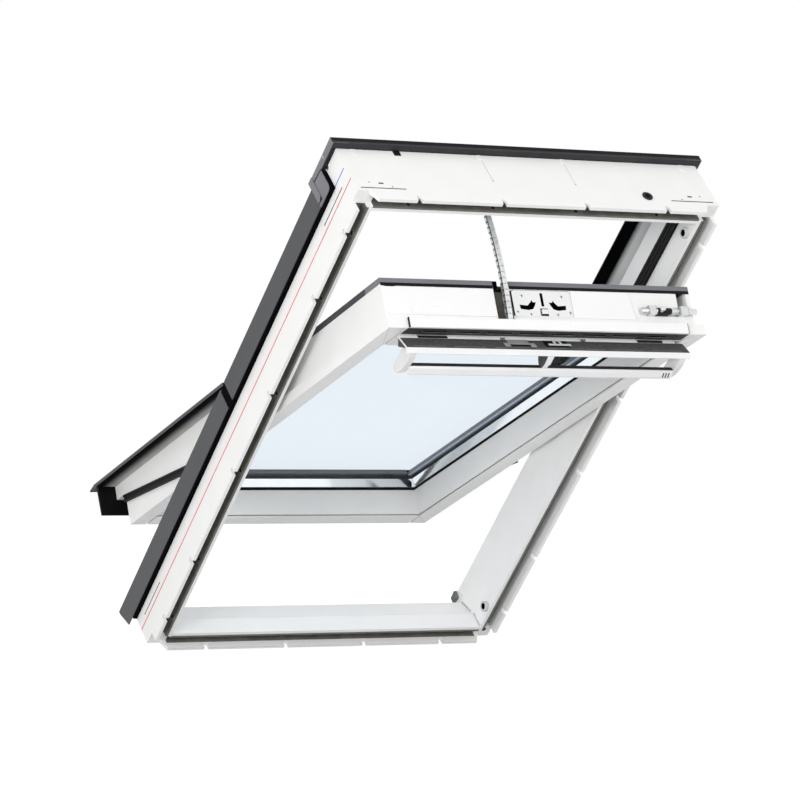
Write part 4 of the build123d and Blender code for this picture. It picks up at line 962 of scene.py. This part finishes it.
@dataclass
class SashTrim:
    """The sash: mouldings, covers, glazing, the chain slot's liner and the seals that show.

    Places are in the shut sash's own x, s and n, with n from its room face.
    """

    slot: Span = (-96.9, -62.6)
    slot_s: Span = (503.2, 527.2)
    slot_n: Span = (20.2, 90.6)
    seal_s: Span = (527.4, 528.0)
    seal_n: Span = (88.0, 94.0)
    tape_n: Span = (86.05, 86.6)
    plain: tuple[Plain, ...] = (
        Plain("chain_slot_liner", LINER_AND_SHADE, Axis.OUT, (
            (slot, (503.2, 503.9), slot_n), ((-96.9, -96.2), slot_s, slot_n),
            ((-63.3, -62.6), slot_s, slot_n), (slot, slot_s, (20.2, 20.9)))),
        Plain("chain_slot_block", FOAM, Axis.OUT, (((-96.9, -86.9), slot_s, (90.6, 102.6)),)),
        # Painted shade: foam under the low covers that goes from black at the cover's edge to pale beside the
        # stile.
        Plain("cover_foam_shade", EDGE_FOAM_SHADE, Axis.UP, (((-380.2, -343.0), (-586.0, -13.0), (93.5, 101.3)),), True),
        Plain("head_cover_seal", RUBBER, Axis.ACROSS, (((-333.0, -97.5), seal_s, seal_n),
                                                       ((-62.0, 333.0), seal_s, seal_n))),
        # Painted shade: a strip under the side laps that goes from pale to black.
        Plain("glazing_lap_shade", LAP_SHADE_TAPE, Axis.UP, (((-298.2, -283.6), (-487.2, 452.0), tape_n),), True),
        Plain("foot_tape", RUBBER, Axis.ACROSS, (((-298.2, 298.2), (-497.4, -484.0), tape_n),)),
        Plain("strip_end_joints", NYLON, Axis.OUT, (((-300.5, -299.65), (546.0, 551.0), (0.2, 19.8)),), True))
    half: float = 341.6
    daylight: float = 303.0
    foot: float = -547.0
    light_foot: float = -502.4
    light_head: float = 455.0
    head: float = 546.0
    edge_step: float = 5.0
    mitre_half: float = 0.5
    mitre_skin: Span = (-0.12, 0.1)
    facing: Outline = ((3.9, 66.2), (3.9, 81.7), (-2.4, 81.7))
    facing_half: float = 300.4
    cap: Outline = ((0.0, 0.15), (5.6, 0.15), (6.2, 0.4), (6.6, 0.1), (6.6, -0.2), (0.0, -0.2))
    cap_spots: tuple[Point, ...] = ((-200.8, 551.0, 10.0), (-39.0, 551.0, 10.0), (43.6, 551.0, 10.0))

    def dress(self) -> None:
        """Gives the sash's own nodes their finishes; the panes let the lamps' light through."""
        BENCH.wear(MOULDING, "sash_left", "sash_right", "sash_top", "sash_bottom")
        BENCH.wear(COVER_ABS, "cover_left", "cover_right", "front_strip", soft=0.6)
        BENCH.wear(SHEET_GREY, *sides("sash_cover_low", "sash_cover_high"), "sash_cover_foot")
        # The head cover's sheet is made paler here as painted light.
        BENCH.wear(SHEET_PAINTED_LIGHT, "sash_cover_head")
        BENCH.wear(RUBBER, *sides("ramp_seal"), "room_seal", "weather_seal")
        BENCH.wear(DRIP, "drip_profile", soft=0.5)
        BENCH.wear(ZINC, *sides("pivot_shoe"), soft=0.4)
        BENCH.wear(SPACER, "spacer_bar")
        BENCH.wear(COVER_ABS, "opener_housing", soft=0.5)
        BENCH.wear(PANE_ROOM, "inner_pane")
        BENCH.wear(PANE_OUT, "outer_pane")
        for name in ("inner_pane", "outer_pane"):
            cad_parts[name].visible_shadow = False

    def mitres(self) -> None:
        """Fine mitre lines on the room face, from the daylight's edge step to the outer corners."""
        edge = self.edge_step
        grids: list[np.ndarray] = []
        for outer, inner in ((self.foot, self.light_foot - edge), (self.head, self.light_head + edge)):
            first, last = np.array((self.daylight + edge, inner)), np.array((self.half, outer))
            slope = last - first
            away = self.mitre_half * np.array((-slope[1], slope[0])) / np.linalg.norm(slope)
            line = np.array((first - away, last - away, last + away, first + away))
            grids += hands(prism(line, self.mitre_skin, Axis.OUT))
        BENCH.piece("mitre_lines", grids, ACETAL_AND_GLINT, Seat.SASH)

    def rim(self, name: str, finish: Finish, away: Span, n: Span, over: Span) -> None:
        """Makes a piece of four bars round the daylight.

        Args:
            name: The piece's name.
            finish: Its finish.
            away: The bars' span outwards from the daylight's edges.
            n: Their span in n.
            over: How far the side bars and the two others run past the daylight.
        """
        (near, out), far, low, high = away, self.daylight, self.light_foot, self.light_head
        grids = hands(prism(box((far + near, far + out), n), (low - over[0], high + over[0]), Axis.UP))
        for s in ((low - out, low - near), (high + near, high + out)):
            grids.append(prism(box(s, n), (-far - over[1], far + over[1]), Axis.ACROSS))
        BENCH.piece(name, grids, finish, Seat.SASH)

    def spacer(self) -> None:
        """Bright facings on the spacer at both sides and the foot: wedges that lean over the room pane."""
        wedge = np.array(self.facing)
        run = (self.light_foot - wedge[0, 0], self.light_head + wedge[0, 0])
        grids = hands(prism(wedge + np.array((self.daylight, 0.0)), run, Axis.UP))
        foot = wedge * (-1.0, 1.0) + np.array((self.light_foot, 0.0))
        grids.append(prism(foot, (-self.facing_half, self.facing_half), Axis.ACROSS))
        BENCH.piece("spacer_facings", grids, SPACER, Seat.SASH)

    def caps(self) -> None:
        """Round caps on the front strip, each a low disc with a rolled rim."""
        grids = [lathe(np.array(self.cap), spot, Axis.UP) for spot in self.cap_spots]
        BENCH.piece("strip_caps", grids, COVER_ABS, Seat.SASH)

    def build(self) -> None:
        """Dresses the sash and adds its trim."""
        self.dress()
        for plan in self.plain:
            plan.build(Seat.SASH)
        self.mitres()
        # Painted shade: grey lines in the shadow gap along the step round the daylight.
        self.rim("edge_step_shade_lines", LINER_AND_SHADE, away=(3.9, 5.0), n=(3.9, 5.0), over=(4.0, 4.0))
        self.rim("room_seal_lips", RUBBER, away=(-0.7, 0.2), n=(57.0, 61.8), over=(0.0, -0.5))
        self.spacer()
        self.caps()


@dataclass
class LockTrim:
    """The lock plate, its case and screws, the bolt and its guides.

    Screws are given by their distance from the lock's middle in x and by n, the grip by radius and x.
    """

    rim_s: Span = (527.6, 541.6)
    rim_n: Span = (41.4, 58.1)
    plain: tuple[Plain, ...] = (
        Plain("guide_rims", GREY_ABS, Axis.OUT, (
            ((227.9, 228.9), rim_s, rim_n), ((243.1, 244.1), rim_s, rim_n),
            ((297.9, 298.9), rim_s, rim_n), ((315.1, 316.1), rim_s, rim_n))),
        # Painted shade: a black window round the hook and a black strip in the gap beside the plate's left
        # edge.
        Plain("strike_window_shade", BLACKENED_AND_SHADE, Axis.OUT, (((-5.2, 11.4), (530.4, 530.75), (35.8, 50.4)),
                                                     ((-62.4, -61.05), (527.6, 530.4), (36.0, 84.0)))),
        Plain("plate_joint", LINER_AND_SHADE, Axis.OUT, (((-58.0, 62.0), (527.6, 530.3), (85.05, 85.8)),)))
    centre: float = 2.0
    screws: Outline = ((43.0, 74.0), (57.0, 42.5), (29.0, 38.1))
    cross_s: Span = (531.4, 531.65)
    cross_long: float = 1.9
    cross_thin: float = 0.45
    grip: Outline = ((5.9, 247.5), (6.25, 247.8), (6.25, 279.4), (5.9, 279.7), (5.9, 247.5))
    bolt_spot: Point = (0.0, 534.0, 49.8)

    def dress(self) -> None:
        """Gives the lock and the bolt their finishes."""
        BENCH.wear(CHROME, "lock_plate", soft=0.5)
        BENCH.wear(BLACKENED_AND_SHADE, "lock_case")
        BENCH.wear(ZINC, "lock_screws", "bolt_guides", "barrel_bolt", soft=0.4)

    def crosses(self) -> None:
        """Cross recesses in the lock screws: two dark bars on each head, painted shade for the recess."""
        grids: list[np.ndarray] = []
        for away, n in self.screws:
            for x in (self.centre - away, self.centre + away):
                for wide, high in ((self.cross_long, self.cross_thin), (self.cross_thin, self.cross_long)):
                    bar = box((x - wide, x + wide), self.cross_s)
                    grids.append(prism(bar, (n - high, n + high), Axis.OUT))
        BENCH.piece("screw_cross_shade", grids, BLACKENED_AND_SHADE, Seat.SASH)

    def sleeve(self) -> None:
        """The dark grip sleeve between the guides, with rolled edges, which slides with the bolt."""
        grip = lathe(np.array(self.grip), self.bolt_spot, Axis.ACROSS)
        BENCH.piece("bolt_sleeve", [grip], NYLON, Seat.SASH, body="bolt")

    def build(self) -> None:
        """Dresses the lock and adds its trim."""
        self.dress()
        self.sleeve()
        for plan in self.plain:
            plan.build(Seat.SASH)
        self.crosses()


@dataclass
class FlapTrim:
    """The ventilation flap: the grille over it, its felt, the hinge line, the bar's insert and grip lines.

    Places on the flap are given from its axis with the flap drawn shut: along the flap, then out from it.
    """

    plate: Span = (3.0, 4.3)
    grip_q: Span = (34.6, 35.25)
    grip_m: Span = (-53.0, -43.0)
    plain: tuple[Plain, ...] = (
        Plain("flap_felt", FELT, Axis.ACROSS, (((-304.4, 304.4), (5.6, 36.4), (2.9, 3.5)),)),
        Plain("hinge_clip", GREY_ABS, Axis.ACROSS, (
            ((-82.0, -38.0), (4.8, 21.0), plate), ((-93.0, -82.0), (16.0, 28.0), plate),
            ((-38.0, -27.0), (16.0, 28.0), plate)), soft=0.3),
        Plain("catch_shade", BLACKENED_AND_SHADE, Axis.ACROSS, (((-81.5, -38.5), (21.0, 26.0), (3.0, 3.9)),
                                                      ((-6.0, 46.0), (5.6, 27.0), (3.0, 3.8)))),
        Plain("catch_hook", ANODISED, Axis.ACROSS, (
            ((16.0, 21.0), (4.8, 17.0), plate), ((28.5, 33.5), (4.8, 17.0), plate),
            ((16.0, 33.5), (4.8, 7.6), plate), ((3.0, 51.0), (16.0, 21.5), plate)), soft=0.25),
        Plain("bar_insert", NYLON, Axis.ACROSS, (((-283.6, 283.6), (24.5, 33.2), (-37.9, -36.7)),), soft=0.3),
        Plain("bar_grips", NYLON, Axis.ACROSS, (
            ((263.0, 265.4), grip_q, grip_m), ((269.0, 271.4), grip_q, grip_m),
            ((275.0, 277.4), grip_q, grip_m))))
    axis: Span = (510.0, -5.0)
    vents: int = 8
    pitch: float = 67.99
    long: float = 51.99
    vent_s: Span = (526.5, 533.5)
    vent_felt_n: Span = (0.2, 5.0)
    grille_x: Span = (-302.0, 302.0)
    grille_s: Span = (516.0, 545.6)
    grille_n: Span = (-0.3, 0.0)
    dash: tuple[Span, Span] = ((31.2, 33.6), (3.4, 3.7))
    dash_half: float = 33.0
    dash_places: tuple[float, float, int] = (-255.0, 255.0, 7)
    end_plate: Outline = ((1.6, 0.0), (34.0, 0.0), (10.0, -13.0))
    end_x: Span = (-305.25, -304.8)
    rod: float = 2.7
    sleeve: float = 4.65
    sleeves: Spans = ((-303.0, -267.0), (-203.0, -93.0), (-40.0, 6.0), (34.0, 71.0), (144.0, 202.0))
    bracket: float = 4.8
    brackets: Spans = ((-266.0, -204.0), (206.0, 262.0))
    cheek: Outline = ((9.0, -0.4), (34.0, -0.4), (40.6, -7.9), (41.2, -11.0), (40.1, -21.0), (37.8, -30.0),
                      (34.4, -37.0), (21.6, -37.0), (15.2, -30.0), (11.7, -20.0), (9.7, -10.0))
    cheek_x: Span = (-6.5, -5.9)

    def dress(self) -> None:
        """Gives the flap's own nodes their finishes."""
        BENCH.wear(BAR_WHITE, "flap_profile", "grab_bar", "bar_stay", soft=0.5)
        BENCH.wear(PEARL, *sides("end_cap"), soft=1.2)
        BENCH.wear(ZINC, "flap_hinge_rod", "flap_catch", soft=0.3)

    def on(self, outline: Outline | np.ndarray, span: Span) -> np.ndarray:
        """An outline given from the flap axis, carried across."""
        return prism(np.array(outline) + np.array(self.axis), span, Axis.ACROSS)

    def grille(self) -> None:
        """The dark grille under the sash head, with black felt behind its slots; their darkness is partly
        painted shade.
        """
        rails = ((self.grille_s[0], self.vent_s[0]), (self.vent_s[1], self.grille_s[1]))
        grids = [prism(box(s, self.grille_n), self.grille_x, Axis.ACROSS) for s in rails]
        places = (np.arange(self.vents) - (self.vents - 1) / 2) * self.pitch
        lows, highs = (places - self.long / 2).tolist(), (places + self.long / 2).tolist()
        for bar in zip([self.grille_x[0], *highs], [*lows, self.grille_x[1]]):
            grids.append(prism(box(self.vent_s, self.grille_n), bar, Axis.ACROSS))
        BENCH.piece("vent_grille", grids, GRILLE_AND_SHADE, Seat.SASH)
        felt = box(self.vent_s, self.vent_felt_n)
        felts = [prism(felt, gap, Axis.ACROSS) for gap in zip(lows, highs)]
        BENCH.piece("vent_felts", felts, FOAM, Seat.SASH)

    def marks(self) -> None:
        """The pale dashes near the felt's front edge, the end plates and the cheek of the bar's stay."""
        dash, half = box(*self.dash), self.dash_half
        places = np.linspace(*self.dash_places).tolist()
        dashes = [self.on(dash, (x - half, x + half)) for x in places]
        BENCH.piece("felt_dashes", dashes, LINER_AND_SHADE, Seat.FLAP)
        BENCH.piece("flap_end_plates", hands(self.on(self.end_plate, self.end_x)), FELT, Seat.FLAP)
        BENCH.piece("stay_cheek", [self.on(self.cheek, self.cheek_x)], FELT, Seat.FLAP)

    def hinge(self) -> None:
        """Sleeves and brackets on the hinge line: rings about the flap axis."""
        middle, rod = (0.0, *self.axis), self.rod
        for name, spans, radius, finish in (("hinge_sleeves", self.sleeves, self.sleeve, ANODISED),
                                            ("hinge_brackets", self.brackets, self.bracket, NYLON)):
            rows = [np.array([(rod, low), (radius, low), (radius, high), (rod, high), (rod, low)])
                    for low, high in spans]
            BENCH.piece(name, [lathe(row, middle, Axis.ACROSS) for row in rows], finish, Seat.FLAP)

    def build(self) -> None:
        """Dresses the flap and adds its trim."""
        self.dress()
        self.grille()
        self.marks()
        self.hinge()
        for plan in self.plain:
            plan.build(Seat.FLAP, self.axis)


@dataclass
class PushChain:
    """The push chain between the sash and the head: its links, their closed backs and rivet heads."""

    x: float = -76.0
    low: Span = (1022.667, -142.245)
    high: Span = (1112.4, 82.0)
    bow: float = -9.5
    links: int = 21
    half: float = 5.2
    deep: float = 4.2
    back: float = 0.9
    back_shares: Span = (0.06, 0.94)
    rivet: Outline = ((0.0, -0.5), (1.5, -0.4), (1.9, 0.1), (0.0, 0.1))
    edge_radius: float = 0.9
    edge_out: float = 0.3

    def stops(self) -> np.ndarray:
        """The chain's joint points.

        They lie on the straight line from the sash to the bracket, moved square to it by four times the bow
        times the share of the way times what is left of it.

        Returns:
            The s and n of each joint, one a row.
        """
        share = np.linspace(0.0, 1.0, self.links + 1)[:, None]
        start, run = np.array(self.low), np.array(self.high) - np.array(self.low)
        square = np.array((-run[1], run[0])) / np.linalg.norm(run)
        return start + run * share + square * self.bow * 4.0 * share * (1.0 - share)

    def gather(self, made: bpy.types.Object) -> None:
        """Gives a piece of the chain a mesh of its own; the chain's two end points are worked out but not
        used.
        """
        ends = LAYOUT.world(np.array(((self.x, *self.low), (self.x, *self.high))), Seat.FRAME)
        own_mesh(made)

    def copies(self) -> None:
        """Merged copies of the link nodes, made in their place while the nodes themselves are hidden."""
        for node in ("chain_outer_links", "chain_inner_links"):
            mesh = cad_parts[node].data.copy()
            mesh.materials.clear()
            mesh.materials.append(CHAIN_STEEL.material())
            BENCH.clean(mesh)
            made = bpy.data.objects.new(node + "_drawn", mesh)
            bpy.context.scene.collection.objects.link(made)
            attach(made, "frame")
            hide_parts(node)
            self.gather(made)
            LOG.info("made %s in %s", made.name, CHAIN_STEEL.name)

    def backs(self) -> None:
        """Closed backs on the outer side, each a plate over most of a link, with rivets and a dark edge of
        painted shade.
        """
        stops, side = self.stops(), self.x - self.half
        run = np.diff(stops, axis=0)
        square = np.stack((run[:, 1], -run[:, 0]), axis=-1) / np.linalg.norm(run, axis=1)[:, None]
        near, far = (stops[:-1] + share * run for share in self.back_shares)
        inner, outer = square * self.deep, square * (self.deep + self.back)
        corners = np.stack((near + inner, far + inner, far + outer, near + outer), axis=1)
        plates = [prism(corner, (side, self.x + self.half), Axis.ACROSS) for corner in corners]
        self.gather(BENCH.piece("chain_backs", plates, CHAIN_STEEL, Seat.FRAME, soft=0.25))
        head = np.array(self.rivet)
        rivets = [lathe(head, (side, *spot), Axis.ACROSS, 14) for spot in stops[:-1].tolist()]
        self.gather(BENCH.piece("chain_rivets", rivets, BLACKENED_AND_SHADE, Seat.FRAME))
        line = stops + np.concatenate((square, square[-1:])) * self.deep
        path = np.insert(line, 0, side - self.edge_out, axis=-1)
        self.gather(BENCH.piece("chain_side_shade", [tube(path, self.edge_radius)], BLACKENED_AND_SHADE, Seat.FRAME))

    def build(self) -> None:
        """Dresses the chain's nodes and makes its pieces."""
        BENCH.wear(CHAIN_STEEL, "chain_outer_links", "chain_inner_links")
        self.copies()
        self.backs()


def main() -> None:
    """Builds the studio and each sub-assembly in order."""
    logging.basicConfig(level=logging.INFO, format="%(message)s")
    Studio().build()
    for part in (FrameTrim(), HoodTrim(), SashTrim(), LockTrim(), FlapTrim(), PushChain()):
        LOG.info("building %s", type(part).__name__)
        part.build()


if __name__ == "__main__":
    main()
